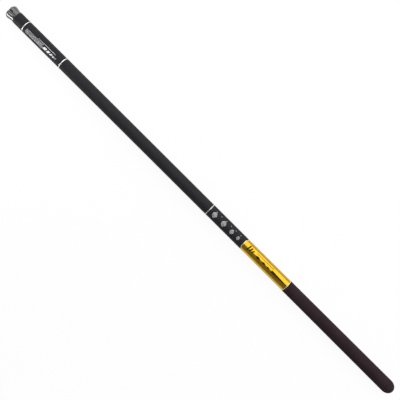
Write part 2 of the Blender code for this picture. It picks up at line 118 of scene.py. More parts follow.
class Gauge:
    """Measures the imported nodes: where they end along the pole, and their radii there."""

    def __init__(self, nodes: dict[str, bpy.types.Object]) -> None:
        """Finds the height of the pole's axis.

        Args:
            nodes: The frame's nodes by name.
        """
        self.nodes = nodes
        low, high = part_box("butt_section")
        self.height = (low.z + high.z) / 2

    def ends(self, node: str) -> tuple[float, float]:
        """The rear and the front of a node, along X."""
        low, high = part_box(node)
        return low.x, high.x

    def radii(self, node: str, along: float) -> list[float]:
        """The radii at which a node has corners at one place along the pole.

        Args:
            node: The node's name.
            along: The place, along X.

        Returns:
            The radii, smallest first.
        """
        found: list[float] = []
        corners = (v.co for v in self.nodes[node].data.vertices if abs(v.co.x - along) < SAME_PLACE)
        for radius in sorted(math.hypot(co.y, co.z - self.height) for co in corners):
            if not found or radius - found[-1] > SAME_PLACE:
                found.append(radius)
        return found


GAUGE = Gauge(frame["nodes"])


@dataclass(frozen=True)
class Spots:
    """A noise: how big its spots are, its bump's depth, and how densely they lie along the pole."""

    size: float
    depth: float = 0.0
    along: float = 1.0
    detail: float = 3.0


class Bench:
    """The node tree of one material, with helpers that wire its shader."""

    def __init__(self, name: str) -> None:
        """Starts a material.

        Args:
            name: The material's name.
        """
        self.material = bpy.data.materials.new(name)
        self.material.use_nodes = True
        self.tree = self.material.node_tree
        self.shader = self.tree.nodes["Principled BSDF"]

    def settle(self, values: dict[str, float | Colour]) -> None:
        """Writes plain values on the shader's own sockets.

        Args:
            values: The number or the colour of each socket, by its name.
        """
        for socket, value in values.items():
            plain = (*value, 1.0) if isinstance(value, tuple) else value
            self.shader.inputs[socket].default_value = plain

    def node(self, kind: str, inputs: dict | None = None, **settings: object) -> bpy.types.Node:
        """Adds a node.

        Args:
            kind: The node's type, without its ShaderNode prefix.
            inputs: What each input gets, by name or number: a value or another node's output.
            settings: The node's own settings.

        Returns:
            The node.
        """
        node = self.tree.nodes.new("ShaderNode" + kind)
        for key, value in settings.items():
            setattr(node, key, value)
        for key, value in (inputs or {}).items():
            if isinstance(value, bpy.types.NodeSocket):
                self.tree.links.new(value, node.inputs[key])
            else:
                node.inputs[key].default_value = value
        return node

    def maths(self, operation: str, *inputs: object) -> bpy.types.NodeSocket:
        """The result of one arithmetic step on values or outputs."""
        return self.node("Math", dict(enumerate(inputs)), operation=operation).outputs[0]

    def noise(self, spots: Spots) -> bpy.types.NodeSocket:
        """Noise in the piece's own metres.

        Args:
            spots: What the noise is like.

        Returns:
            The output with the noise, from 0 to 1.
        """
        place = self.node("TexCoord").outputs["Object"]
        scale = (spots.along, 1.0, 1.0)
        mapped = self.node("Mapping", {"Vector": place, "Scale": scale}).outputs["Vector"]
        inputs = {"Vector": mapped, "Scale": 1 / spots.size, "Detail": spots.detail}
        return self.node("TexNoise", inputs).outputs["Fac"]

    def cells(self, size: float) -> bpy.types.NodeSocket:
        """Distance to the middle of the nearest cell, for cells of one size."""
        place = self.node("TexCoord").outputs["Object"]
        return self.node("TexVoronoi", {"Vector": place, "Scale": 1 / size}).outputs["Distance"]

    def spiral(self, pitch: float, starts: int) -> bpy.types.NodeSocket:
        """A wave that winds round the pole.

        Args:
            pitch: The distance between crests along the pole.
            starts: How many crests pass in one turn; 0 gives rings, and below 0 winds leftwards.

        Returns:
            The output with the wave, from -1 to 1.
        """
        place = self.node("TexCoord").outputs["Object"]
        parts = self.node("SeparateXYZ", {"Vector": place}).outputs
        up = self.maths("SUBTRACT", parts["Z"], GAUGE.height)
        turn = self.maths("ARCTAN2", parts["Y"], up)
        wound = self.maths("MULTIPLY", turn, float(starts))
        along = self.maths("MULTIPLY", parts["X"], 2 * math.pi / pitch)
        return self.maths("SINE", self.maths("ADD", along, wound))

    def tint(
        self,
        by: bpy.types.NodeSocket,
        dark: Colour,
        light: Colour,
        span: tuple[float, float] = NOISE_SPAN,
    ) -> None:
        """Varies the base colour.

        Args:
            by: The output that drives it.
            dark: The colour at the low end.
            light: The colour at the high end.
            span: The values of the driving output at the two ends.
        """
        ramp = self.node("ValToRGB", {"Fac": by})
        for element, place, colour in zip(ramp.color_ramp.elements, span, (dark, light)):
            element.position = place
            element.color = (*colour, 1.0)
        self.tree.links.new(ramp.outputs["Color"], self.shader.inputs["Base Color"])

    def polish(self, by: bpy.types.NodeSocket, smooth: float, rough: float) -> None:
        """Varies the roughness.

        Args:
            by: The output that drives it, over the span of noise.
            smooth: The roughness at its low end.
            rough: The roughness at its high end.
        """
        low, high = NOISE_SPAN
        inputs = {"Value": by, "From Min": low, "From Max": high, "To Min": smooth, "To Max": rough}
        ranged = self.node("MapRange", inputs).outputs["Result"]
        self.tree.links.new(ranged, self.shader.inputs["Roughness"])

    def relief(self, *layers: tuple[bpy.types.NodeSocket, float]) -> None:
        """Lays bumps over one another.

        Args:
            layers: Each layer's output and its height in metres.
        """
        normal = None
        for height, depth in layers:
            inputs = {"Height": height, "Distance": depth, "Strength": 1.0}
            if normal is not None:
                inputs["Normal"] = normal
            normal = self.node("Bump", inputs).outputs["Normal"]
        self.tree.links.new(normal, self.shader.inputs["Normal"])


@dataclass(frozen=True)
class Finish:
    """A finish: its two tones, its range of roughness and the slot that it belongs to."""

    name: str
    dark: Colour
    light: Colour
    smooth: float
    rough: float
    slot: Slot | None = None

    @functools.cache
    def material(self) -> bpy.types.Material:
        """The finish's material, made on its first use.

        Returns:
            The material.
        """
        bench = Bench(self.name)
        self.wire(bench)
        return bench.material

    def wire(self, bench: Bench) -> None:
        """Wires the material's nodes."""
        raise NotImplementedError


@dataclass(frozen=True)
class SatinLacquer(Finish):
    """Satin lacquer over carbon: fibres along the pole, a faint wind of the tape, orange peel."""

    specular: float = 0.05
    tape_pitch: float = 9 * MM
    tape_depth: float = 0.006 * MM
    fibres: Spots = Spots(0.6 * MM, depth=0.004 * MM, along=0.02)
    peel: Spots = Spots(1.6 * MM, depth=0.010 * MM, detail=2.0)
    wear: Spots = Spots(14 * MM)

    def wire(self, bench: Bench) -> None:
        """Wires the material's nodes.

        Args:
            bench: The material's bench.
        """
        fibres = bench.noise(self.fibres)
        peel = bench.noise(self.peel)
        tape = bench.spiral(self.tape_pitch, 1)
        bench.tint(fibres, self.dark, self.light)
        bench.polish(bench.noise(self.wear), self.smooth, self.rough)
        bench.relief((tape, self.tape_depth), (peel, self.peel.depth), (fibres, self.fibres.depth))
        bench.settle({"Specular IOR Level": self.specular})


@dataclass(frozen=True)
class GlossLacquer(Finish):
    """Ground carbon under clear gloss: the crossed wind of the tape shows through."""

    coat: float = 0.7
    coat_roughness: float = 0.06
    span: tuple[float, float] = (0.35, 0.65)
    tape_pitch: float = 3.2 * MM
    tape_depth: float = 0.010 * MM
    wind_pitch: float = 6 * MM
    wind_starts: int = 3
    wind_swing: float = 0.25
    fibres: Spots = Spots(0.5 * MM, depth=0.003 * MM, along=0.03)
    wear: Spots = Spots(9 * MM)

    def wire(self, bench: Bench) -> None:
        """Wires the material's nodes.

        Args:
            bench: The material's bench.
        """
        pitch, starts = self.wind_pitch, self.wind_starts
        cross = bench.maths("MULTIPLY", bench.spiral(pitch, starts), bench.spiral(pitch, -starts))
        lifted = bench.maths("MULTIPLY_ADD", cross, self.wind_swing, 0.5)
        fibres = bench.noise(self.fibres)
        mixed = bench.maths("MULTIPLY_ADD", fibres, 0.5, bench.maths("MULTIPLY", lifted, 0.5))
        bench.tint(mixed, self.dark, self.light, self.span)
        bench.polish(bench.noise(self.wear), self.smooth, self.rough)
        tape = bench.spiral(self.tape_pitch, 1)
        bench.relief((tape, self.tape_depth), (fibres, self.fibres.depth))
        bench.settle({"Coat Weight": self.coat, "Coat Roughness": self.coat_roughness})


@dataclass(frozen=True)
class SoftTouch(Finish):
    """Soft-touch rubber: a fine pebbled grain and faint mottling."""

    grain: float = 0.28 * MM
    depth: float = 0.030 * MM
    specular: float = 0.03
    mottle: Spots = Spots(22 * MM, along=0.5, detail=5.0)
    wear: Spots = Spots(6 * MM)
    skin: Spots = Spots(2.2 * MM, depth=0.02 * MM)

    def wire(self, bench: Bench) -> None:
        """Wires the material's nodes.

        Args:
            bench: The material's bench.
        """
        mottle = bench.noise(self.mottle)
        pebble = bench.cells(self.grain)
        bench.tint(mottle, self.dark, self.light)
        bench.polish(bench.noise(self.wear), self.smooth, self.rough)
        bench.relief((bench.noise(self.skin), self.skin.depth), (pebble, self.depth))
        bench.settle({"Specular IOR Level": self.specular})


@dataclass(frozen=True)
class FoilLacquer(Finish):
    """Gold foil under clear lacquer: rolled grain along the pole and soft crazing."""

    coat: float = 0.15
    coat_roughness: float = 0.12
    span: tuple[float, float] = (0.38, 0.62)
    rolled: Spots = Spots(0.35 * MM, depth=0.006 * MM, along=0.04)
    cloud: Spots = Spots(7 * MM, depth=0.012 * MM, detail=4.0)

    def wire(self, bench: Bench) -> None:
        """Wires the material's nodes.

        Args:
            bench: The material's bench.
        """
        rolled = bench.noise(self.rolled)
        cloud = bench.noise(self.cloud)
        both = bench.maths("MULTIPLY_ADD", rolled, 0.5, bench.maths("MULTIPLY", cloud, 0.5))
        bench.tint(both, self.dark, self.light, self.span)
        bench.polish(rolled, self.smooth, self.rough)
        bench.relief((cloud, self.cloud.depth), (rolled, self.rolled.depth))
        bench.settle({"Metallic": 1.0})
        bench.settle({"Coat Weight": self.coat, "Coat Roughness": self.coat_roughness})


@dataclass(frozen=True)
class SmokePlastic(Finish):
    """Clear plastic dyed smoke-grey, with flow marks and a finely frosted skin."""

    clearness: float = 0.40
    bending: float = 1.55
    coat: float = 1.0
    coat_roughness: float = 0.05
    flow: Spots = Spots(5 * MM, depth=0.05 * MM, along=0.35, detail=4.0)
    frost: Spots = Spots(0.4 * MM, depth=0.006 * MM, detail=2.0)

    def wire(self, bench: Bench) -> None:
        """Wires the material's nodes.

        Args:
            bench: The material's bench.
        """
        flow = bench.noise(self.flow)
        frost = bench.noise(self.frost)
        bench.tint(flow, self.dark, self.light)
        bench.polish(flow, self.smooth, self.rough)
        bench.relief((flow, self.flow.depth), (frost, self.frost.depth))
        bench.settle({"Transmission Weight": self.clearness, "IOR": self.bending})
        bench.settle({"Coat Weight": self.coat, "Coat Roughness": self.coat_roughness})


@dataclass(frozen=True)
class ResinedThread(Finish):
    """Whipping thread soaked in resin: strands across the pole under a wet gloss."""

    coat: float = 0.8
    coat_roughness: float = 0.08
    strand: float = 0.12 * MM
    strand_depth: float = 0.008 * MM
    uneven: Spots = Spots(1.2 * MM, depth=0.03 * MM, detail=4.0)

    def wire(self, bench: Bench) -> None:
        """Wires the material's nodes.

        Args:
            bench: The material's bench.
        """
        strands = bench.spiral(self.strand, 1)
        uneven = bench.noise(self.uneven)
        bench.tint(uneven, self.dark, self.light)
        bench.polish(uneven, self.smooth, self.rough)
        bench.relief((strands, self.strand_depth), (uneven, self.uneven.depth))
        bench.settle({"Coat Weight": self.coat, "Coat Roughness": self.coat_roughness})


@dataclass(frozen=True)
class TurnedMetal(Finish):
    """Lathe-turned metal: fine tool rings and slight tarnish."""

    tool_pitch: float = 0.11 * MM
    tool_depth: float = 0.006 * MM
    tarnish: Spots = Spots(3 * MM, depth=0.004 * MM, detail=5.0)

    def wire(self, bench: Bench) -> None:
        """Wires the material's nodes.

        Args:
            bench: The material's bench.
        """
        rings = bench.spiral(self.tool_pitch, 1)
        tarnish = bench.noise(self.tarnish)
        bench.tint(tarnish, self.dark, self.light)
        bench.polish(tarnish, self.smooth, self.rough)
        bench.relief((rings, self.tool_depth), (tarnish, self.tarnish.depth))
        bench.settle({"Metallic": 1.0})


@dataclass(frozen=True)
class MouldedPlastic(Finish):
    """Moulded plastic: a spark-eroded grain and faint flow marks."""

    grain: Spots = Spots(0.35 * MM, depth=0.012 * MM)
    flow: Spots = Spots(6 * MM, detail=4.0)

    def wire(self, bench: Bench) -> None:
        """Wires the material's nodes.

        Args:
            bench: The material's bench.
        """
        flow = bench.noise(self.flow)
        bench.tint(flow, self.dark, self.light)
        bench.polish(flow, self.smooth, self.rough)
        bench.relief((bench.noise(self.grain), self.grain.depth))


@dataclass(frozen=True)
class ClosedCellFoam(Finish):
    """Dense closed-cell foam: small open cells on its cut faces."""

    specular: float = 0.2
    span: tuple[float, float] = (0.1, 0.6)
    cell: float = 0.45 * MM
    cell_depth: float = 0.10 * MM
    lumps: Spots = Spots(3 * MM, depth=0.05 * MM)

    def wire(self, bench: Bench) -> None:
        """Wires the material's nodes.

        Args:
            bench: The material's bench.
        """
        cells = bench.cells(self.cell)
        bench.tint(cells, self.dark, self.light, self.span)
        bench.polish(cells, self.smooth, self.rough)
        bench.relief((cells, self.cell_depth), (bench.noise(self.lumps), self.lumps.depth))
        bench.settle({"Specular IOR Level": self.specular})


@dataclass(frozen=True)
class PrintedInk(Finish):
    """Screen-printed ink: a mesh-like grain and slight thinning."""

    metallic: float = 0.0
    gleam: float = 0.5
    mesh_pitch: float = 0.3 * MM
    mesh_starts: int = 300
    mesh_depth: float = 0.004 * MM
    thin: Spots = Spots(1.8 * MM, depth=0.008 * MM, detail=5.0)

    def wire(self, bench: Bench) -> None:
        """Wires the material's nodes.

        Args:
            bench: The material's bench.
        """
        thin = bench.noise(self.thin)
        rings, slants = (bench.spiral(self.mesh_pitch, starts) for starts in (0, self.mesh_starts))
        weave = bench.maths("MULTIPLY", rings, slants)
        bench.tint(thin, self.dark, self.light)
        bench.polish(thin, self.smooth, self.rough)
        bench.relief((weave, self.mesh_depth), (thin, self.thin.depth))
        bench.settle({"Metallic": self.metallic, "Specular IOR Level": self.gleam})


SATIN = SatinLacquer(
    "satin_black_lacquer", (0.0173, 0.0162, 0.0184), (0.0270, 0.0259, 0.0281), 0.40, 0.50,
    slot=Slot.SATIN_BLANK,
)
SATIN_WRAP = SatinLacquer(
    "satin_black_wrap", (0.017, 0.016, 0.018), (0.026, 0.025, 0.027), 0.38, 0.46,
    slot=Slot.SATIN_WRAP, tape_pitch=2 * MM,
)
GLOSS = GlossLacquer(
    "gloss_carbon", (0.006, 0.006, 0.007), (0.022, 0.022, 0.025), 0.22, 0.34,
    slot=Slot.GLOSS_BLANK,
)
GOLD = FoilLacquer(
    "lacquered_gold", (0.50, 0.305, 0.016), (0.63, 0.39, 0.025), 0.17, 0.25, slot=Slot.GOLD_FOIL,
)
GRIP = SoftTouch(
    "soft_touch_grip", (0.0240, 0.0147, 0.0182), (0.0316, 0.0199, 0.0244), 0.66, 0.80,
    slot=Slot.SOFT_GRIP,
)
RUBBER = SoftTouch(
    "moulded_butt_rubber", (0.0240, 0.0150, 0.0185), (0.0316, 0.0205, 0.0248), 0.62, 0.78,
    slot=Slot.BUTT_RUBBER, grain=0.45 * MM, depth=0.045 * MM,
)
SMOKE = SmokePlastic(
    "dyed_smoke_plastic", (0.052, 0.052, 0.055), (0.072, 0.072, 0.076), 0.12, 0.18, slot=Slot.SMOKE_PLUG,
)
THREAD_WRAP = ResinedThread(
    "resined_whipping", (0.010, 0.010, 0.011), (0.022, 0.022, 0.024), 0.22, 0.36,
    slot=Slot.WHIPPING,
)
ALUMINIUM = TurnedMetal(
    "turned_aluminium", (0.52, 0.53, 0.55), (0.66, 0.67, 0.69), 0.26, 0.40,
    slot=Slot.RING_ALUMINIUM,
)
CORE_PLASTIC = MouldedPlastic(
    "moulded_core", (0.016, 0.016, 0.016), (0.024, 0.024, 0.024), 0.38, 0.52,
    slot=Slot.CAP_PLASTIC,
)
SEAL_RUBBER = MouldedPlastic(
    "moulded_seal", (0.008, 0.008, 0.008), (0.013, 0.013, 0.013), 0.45, 0.60,
    slot=Slot.SEAL_RUBBER, grain=Spots(0.6 * MM, depth=0.008 * MM),
)
FOAM = ClosedCellFoam(
    "closed_cell_foam", (0.030, 0.030, 0.034), (0.065, 0.065, 0.070), 0.85, 0.95, slot=Slot.PAD_FOAM,
)
TIP_PAINT = MouldedPlastic(
    "tip_paint", (0.62, 0.60, 0.55), (0.74, 0.72, 0.66), 0.24, 0.36,
    slot=Slot.SOLID_TIP, grain=Spots(0.9 * MM, depth=0.010 * MM),
)
CONNECTOR_PLASTIC = MouldedPlastic(
    "moulded_connector", (0.014, 0.014, 0.016), (0.026, 0.026, 0.028), 0.24, 0.36,
    slot=Slot.CONNECTOR_PLASTIC,
)
LOCK_PLASTIC = MouldedPlastic(
    "moulded_lock_sleeve", (0.10, 0.10, 0.105), (0.14, 0.14, 0.145), 0.30, 0.42, slot=Slot.LOCK_PLASTIC,
)
SILVER_INK = PrintedInk(
    "silver_ink", (0.80, 0.80, 0.81), (0.90, 0.90, 0.91), 0.30, 0.42, metallic=0.6,
)
WHITE_INK = PrintedInk("white_ink", (0.78, 0.78, 0.79), (0.88, 0.88, 0.89), 0.35, 0.50)
GREY_INK = PrintedInk("grey_ink", (0.38, 0.38, 0.39), (0.54, 0.54, 0.55), 0.35, 0.50)
# painted highlight: cream laid along the gold foil's two edges, where its lacquered rims catch the light
CREAM_HIGHLIGHT = PrintedInk("cream_painted_highlight", (0.82, 0.76, 0.52), (0.92, 0.87, 0.64), 0.30, 0.42)
BROWN_INK = PrintedInk(
    "brown_ink", (0.022, 0.008, 0.002), (0.040, 0.015, 0.004), 0.45, 0.60, gleam=0.12,
)


def soften(outline: Outline, size: float, closed: bool, steps: int = 3) -> Outline:
    """Rounds the corners of an outline.

    Args:
        outline: The (along, radius) points.
        size: How far from a corner the rounding starts.
        closed: Whether the last point joins the first.
        steps: How many edges each rounding has.

    Returns:
        The longer outline.
    """
    rounded: Outline = []
    count = len(outline)
    for place, (along, radius) in enumerate(outline):
        corner = Vector((along, radius))
        if not closed and place in (0, count - 1):
            rounded.append((along, radius))
            continue
        before = Vector(outline[place - 1]) - corner
        after = Vector(outline[(place + 1) % count]) - corner
        bend = math.pi - before.angle(after)
        if bend < SHARP_ANGLE:
            rounded.append((along, radius))
            continue
        start = corner + before.normalized() * min(size, before.length * EDGE_SHARE)
        end = corner + after.normalized() * min(size, after.length * EDGE_SHARE)
        for step in range(steps + 1):
            share = step / steps
            point = start.lerp(corner, share).lerp(corner.lerp(end, share), share)
            rounded.append((point.x, point.y))
    return rounded


def finished_mesh(bm: bmesh.types.BMesh, name: str) -> bpy.types.Object:
    """Turns a closed shell into an object, smooth where it is round and sharp at its corners.

    Args:
        bm: The shell, which is freed.
        name: The object's name.

    Returns:
        The object, in the scene.
    """
    bmesh.ops.recalc_face_normals(bm, faces=bm.faces)
    mesh = bpy.data.meshes.new(name)
    bm.to_mesh(mesh)
    bm.free()
    mesh.shade_smooth()
    mesh.set_sharp_from_angle(angle=SHARP_ANGLE)
    obj = bpy.data.objects.new(name, mesh)
    bpy.context.scene.collection.objects.link(obj)
    return obj


def on_pole(along: float, radius: float, turn: float) -> Vector:
    """A point by its place along the pole, its radius and its turn round it."""
    return Vector((along, radius * math.sin(turn), GAUGE.height + radius * math.cos(turn)))


def join_rings(bm: bmesh.types.BMesh, first: list, second: list) -> None:
    """Joins two rings of corners with faces; a ring of one corner makes a fan.

    Args:
        bm: The shell that gets the faces.
        first: The corners of one ring.
        second: The corners of the other, as many as in the first unless either has one.
    """
    count = max(len(first), len(second))
    for place in range(count):
        following = (place + 1) % count
        corners = [first[place % len(first)], second[place % len(second)]]
        if len(second) > 1:
            corners.append(second[following])
        if len(first) > 1:
            corners.append(first[following])
        bm.faces.new(corners)


def turned(
    name: str,
    outline: Outline,
    sides: int = ROUND_SIDES,
    shape: RingShape | None = None,
) -> bpy.types.Object:
    """A piece turned about the pole's axis.

    Args:
        name: The piece's name.
        outline: The (along, radius) points round its section. One that starts on the axis also
            ends there, and any other closes on its first point.
        sides: How many sides the piece has.
        shape: Gives the radius at an along, an outline radius and a turn, where it isn't round.

    Returns:
        The piece.
    """
    bm = bmesh.new()
    rings = []
    for along, radius in outline:
        if radius < ON_AXIS:
            rings.append([bm.verts.new(on_pole(along, 0.0, 0.0))])
            continue
        ring = []
        for side in range(sides):
            turn = 2 * math.pi * side / sides
            shaped = shape(along, radius, turn) if shape else radius
            ring.append(bm.verts.new(on_pole(along, shaped, turn)))
        rings.append(ring)
    for first, second in zip(rings, rings[1:]):
        join_rings(bm, first, second)
    if outline[0][1] > ON_AXIS:
        join_rings(bm, rings[-1], rings[0])
    return finished_mesh(bm, name)


def band(rear: float, front: float, inner: float, outer: float) -> Outline:
    """The outline of a plain ring."""
    return [(front, outer), (rear, outer), (rear, inner), (front, inner)]


def helix_ridge(
    name: str, rear: float, front: float, radius: float, height: float, phase: float = 0.0
) -> bpy.types.Object:
    """A right-hand screw thread of the butt cap, which fades in and out at its ends.

    Args:
        name: The piece's name.
        rear: Where it starts along the pole.
        front: Where it ends.
        radius: The radius of the wall that it stands on.
        height: How far it stands proud; below 0 it stands inwards.
        phase: The turn at which it starts.

    Returns:
        The piece.
    """
    turns = (front - rear) / THREAD_PITCH
    steps = round(turns * FINE_SIDES)
    root = radius - math.copysign(THREAD_SINK, height)
    bm = bmesh.new()
    rings = []
    for step in range(steps + 1):
        share = step / steps
        fade = min(1.0, share * turns * FADE_RATE, (1 - share) * turns * FADE_RATE)
        crest = radius + height * max(fade, THREAD_LEAST)
        middle = rear + (front - rear) * share
        turn = phase - 2 * math.pi * turns * share
        profile = ((-0.5, root), (-THREAD_CREST, crest), (THREAD_CREST, crest), (0.5, root))
        rings.append([bm.verts.new(on_pole(middle + THREAD_WIDTH * x, r, turn)) for x, r in profile])
    for first, second in zip(rings, rings[1:]):
        join_rings(bm, first, second)
    bm.faces.new(rings[0])
    bm.faces.new(rings[-1])
    return finished_mesh(bm, name)


def fit(piece: bpy.types.Object, finish: Finish, body: Body, *nodes: str) -> None:
    """Dresses a piece, sets it on its body and reports it.

    Args:
        piece: The piece, in place.
        finish: Its finish.
        body: The body that it rides on.
        nodes: The nodes of the frame that it stands for.
    """
    piece.data.materials.clear()
    piece.data.materials.append(finish.material())
    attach(piece, body.value)
    if nodes:
        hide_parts(*nodes)
    LOG.info("%s: %s, on %s", piece.name, finish.name, body.value)


def fit_turned(
    name: str,
    outline: Outline,
    edge: float,
    finish: Finish,
    body: Body,
    *nodes: str,
    closed: bool = True,
    sides: int = ROUND_SIDES,
) -> None:
    """Turns a piece with softened corners and fits it.

    Args:
        name: The piece's name.
        outline: The (along, radius) points round its section.
        edge: How far from a corner its rounding starts.
        finish: The piece's finish.
        body: The body that it rides on.
        nodes: The nodes of the frame that it stands for.
        closed: Whether the outline's last point joins the first, off the axis.
        sides: How many sides the piece has.
    """
    fit(turned(name, soften(outline, edge, closed), sides), finish, body, *nodes)


@dataclass(frozen=True)
class Stroke:
    """A printed stroke: a ladder of faces between two edges of (along, around) millimetres."""

    left: Edge
    right: Edge

    @classmethod
    def bar(
        cls, along: float, around: float, length: float, width: float, slant: float
    ) -> "Stroke":
        """A bar with slanting ends.

        Args:
            along: Its middle, along the pole.
            around: Its middle, round it.
            length: Its length.
            width: Its width.
            slant: How far one long edge is ahead of the other.

        Returns:
            The stroke.
        """
        rear, front = along - length / 2, along + length / 2
        low, high = around - width / 2, around + width / 2
        half = slant / 2
        return cls(
            ((rear - half, low), (front - half, low)), ((rear + half, high), (front + half, high))
        )

    @classmethod
    def wedge(
        cls, rear: float, front: float, around: float, rear_width: float, front_width: float
    ) -> "Stroke":
        """A bar whose width changes evenly along it.

        Args:
            rear: Its rear end, along the pole.
            front: Its front end.
            around: Its middle, round the pole.
            rear_width: Its width at the rear.
            front_width: Its width at the front.

        Returns:
            The stroke.
        """
        return cls(
            ((rear, around - rear_width / 2), (front, around - front_width / 2)),
            ((rear, around + rear_width / 2), (front, around + front_width / 2)),
        )

    @classmethod
    def lozenge(cls, along: float, around: float, length: float, width: float) -> "Stroke":
        """A lozenge.

        Args:
            along: Its middle, along the pole.
            around: Its middle, round it.
            length: Its length along the pole.
            width: Its width round it.

        Returns:
            The stroke.
        """
        return cls(
            ((along - length / 2, around), (along, around - width / 2)),
            ((along, around + width / 2), (along + length / 2, around)),
        )


@dataclass
class Print:
    """A print on a round wall: strokes of thin ink that follow it."""

    name: str
    strokes: list[Stroke]
    radius_at: Callable[[float], float]
    turn: float = 0.0
    lift: float = 0.05
    sink: float = 0.03
    slice_width: float = 1.0
    slice_shift: float = 0.37
    same_corner: float = 0.001

    def build(self) -> bpy.types.Object:
        """Raises the strokes flat in millimetres, slices them across and bends them round.

        Returns:
            The print.
        """
        bm = bmesh.new()
        for stroke in self.strokes:
            self.raise_stroke(bm, stroke)
        reach = max(abs(vert.co.y) for vert in bm.verts)
        slices = math.ceil(reach / self.slice_width)
        for cut in range(-slices, slices + 1):
            bmesh.ops.bisect_plane(
                bm,
                geom=[*bm.verts, *bm.edges, *bm.faces],
                dist=self.same_corner,
                plane_co=(0.0, (cut + self.slice_shift) * self.slice_width, 0.0),
                plane_no=(0.0, 1.0, 0.0),
            )
        for vert in bm.verts:
            along = vert.co.x * MM
            radius = self.radius_at(along)
            turn = self.turn + vert.co.y * MM / radius
            vert.co = on_pole(along, radius + vert.co.z * MM, turn)
        return finished_mesh(bm, self.name)

    def raise_stroke(self, bm: bmesh.types.BMesh, stroke: Stroke) -> None:
        """Adds one stroke as a thin closed shell.

        Args:
            bm: The mesh that gets it.
            stroke: The stroke.
        """
        rungs = []
        for left, right in zip(stroke.left, stroke.right):
            corners = ((*left, self.lift), (*right, self.lift), (*right, -self.sink), (*left, -self.sink))
            rungs.append([bm.verts.new(corner) for corner in corners])
        for first, second in zip(rungs, rungs[1:]):
            join_rings(bm, first, second)
        bm.faces.new(rungs[0])
        bm.faces.new(rungs[-1])


@dataclass
class ButtSection:
    """The outer blank, with the wrap round its mouth, the gold foil and the grip let into it."""

    body: Body = Body.BUTT
    lock_length: float = 80 * MM
    skin_depth: float = 0.30 * MM
    sleeve_depth: float = 0.50 * MM
    sleeve_proud: float = 0.08 * MM
    blank_edge: float = 0.1 * MM
    mouth_edge: float = 0.25 * MM
    grip_edge: float = 0.2 * MM
    seam: float = 0.04 * MM

    def __post_init__(self) -> None:
        """Reads the places and radii from the frame."""
        self.rear, self.mouth = GAUGE.ends("butt_section")
        self.wrap_rear = GAUGE.ends("butt_mouth_wrap")[0]
        self.foil_rear, self.foil_front = GAUGE.ends("foil_band")
        self.grip_rear = GAUGE.ends("grip_sleeve")[0]
        self.radius = GAUGE.radii("foil_band", self.foil_front)[-1]
        self.grip_radius = GAUGE.radii("grip_sleeve", self.grip_rear)[-1]

    def radius_at(self, along: float) -> float:
        """The outer radius: parallel in front, and swelling from the foil to the butt."""
        share = (self.foil_front - along) / (self.foil_front - self.grip_rear)
        return self.radius + (self.grip_radius - self.radius) * min(max(share, 0.0), 1.0)

    def build(self) -> None:
        """Builds the blank and its three skins."""
        under = self.radius - self.skin_depth
        lock = self.mouth - self.lock_length
        sunk_rear = self.radius_at(self.foil_rear) - self.skin_depth
        blank = [
            (self.mouth, under),
            (self.wrap_rear - self.seam, under),
            (self.wrap_rear - self.seam, self.radius),
            (self.foil_front + self.seam, self.radius),
            (self.foil_front + self.seam, under),
            (self.foil_rear, sunk_rear),
            (self.foil_rear, sunk_rear - self.sleeve_depth),
            (self.rear, self.grip_radius - self.skin_depth - self.sleeve_depth),
        ]
        for place in (self.rear, self.foil_front, lock, self.mouth):
            blank.append((place, GAUGE.radii("butt_section", place)[0]))
        fit_turned("outer_blank", blank, self.blank_edge, SATIN, self.body, "butt_section")

        wrap = band(self.wrap_rear, self.mouth, under + self.seam, self.radius)
        fit_turned("mouth_wrap", wrap, self.mouth_edge, SATIN_WRAP, self.body, "butt_mouth_wrap")

        foil = [
            (self.foil_front, self.radius),
            (self.foil_rear, self.radius_at(self.foil_rear)),
            (self.foil_rear, sunk_rear + self.seam),
            (self.foil_front, under + self.seam),
        ]
        fit_turned("gold_foil_band", foil, self.seam, GOLD, self.body, "foil_band")

        front = self.foil_rear - self.seam
        grip_front = self.radius_at(front) + self.sleeve_proud
        grip = [
            (front, grip_front),
            (self.grip_rear, self.grip_radius),
            (self.grip_rear, self.grip_radius - self.sleeve_depth),
            (front, grip_front - self.sleeve_depth - self.sleeve_proud),
        ]
        fit_turned("soft_grip", grip, self.grip_edge, GRIP, self.body, "grip_sleeve")


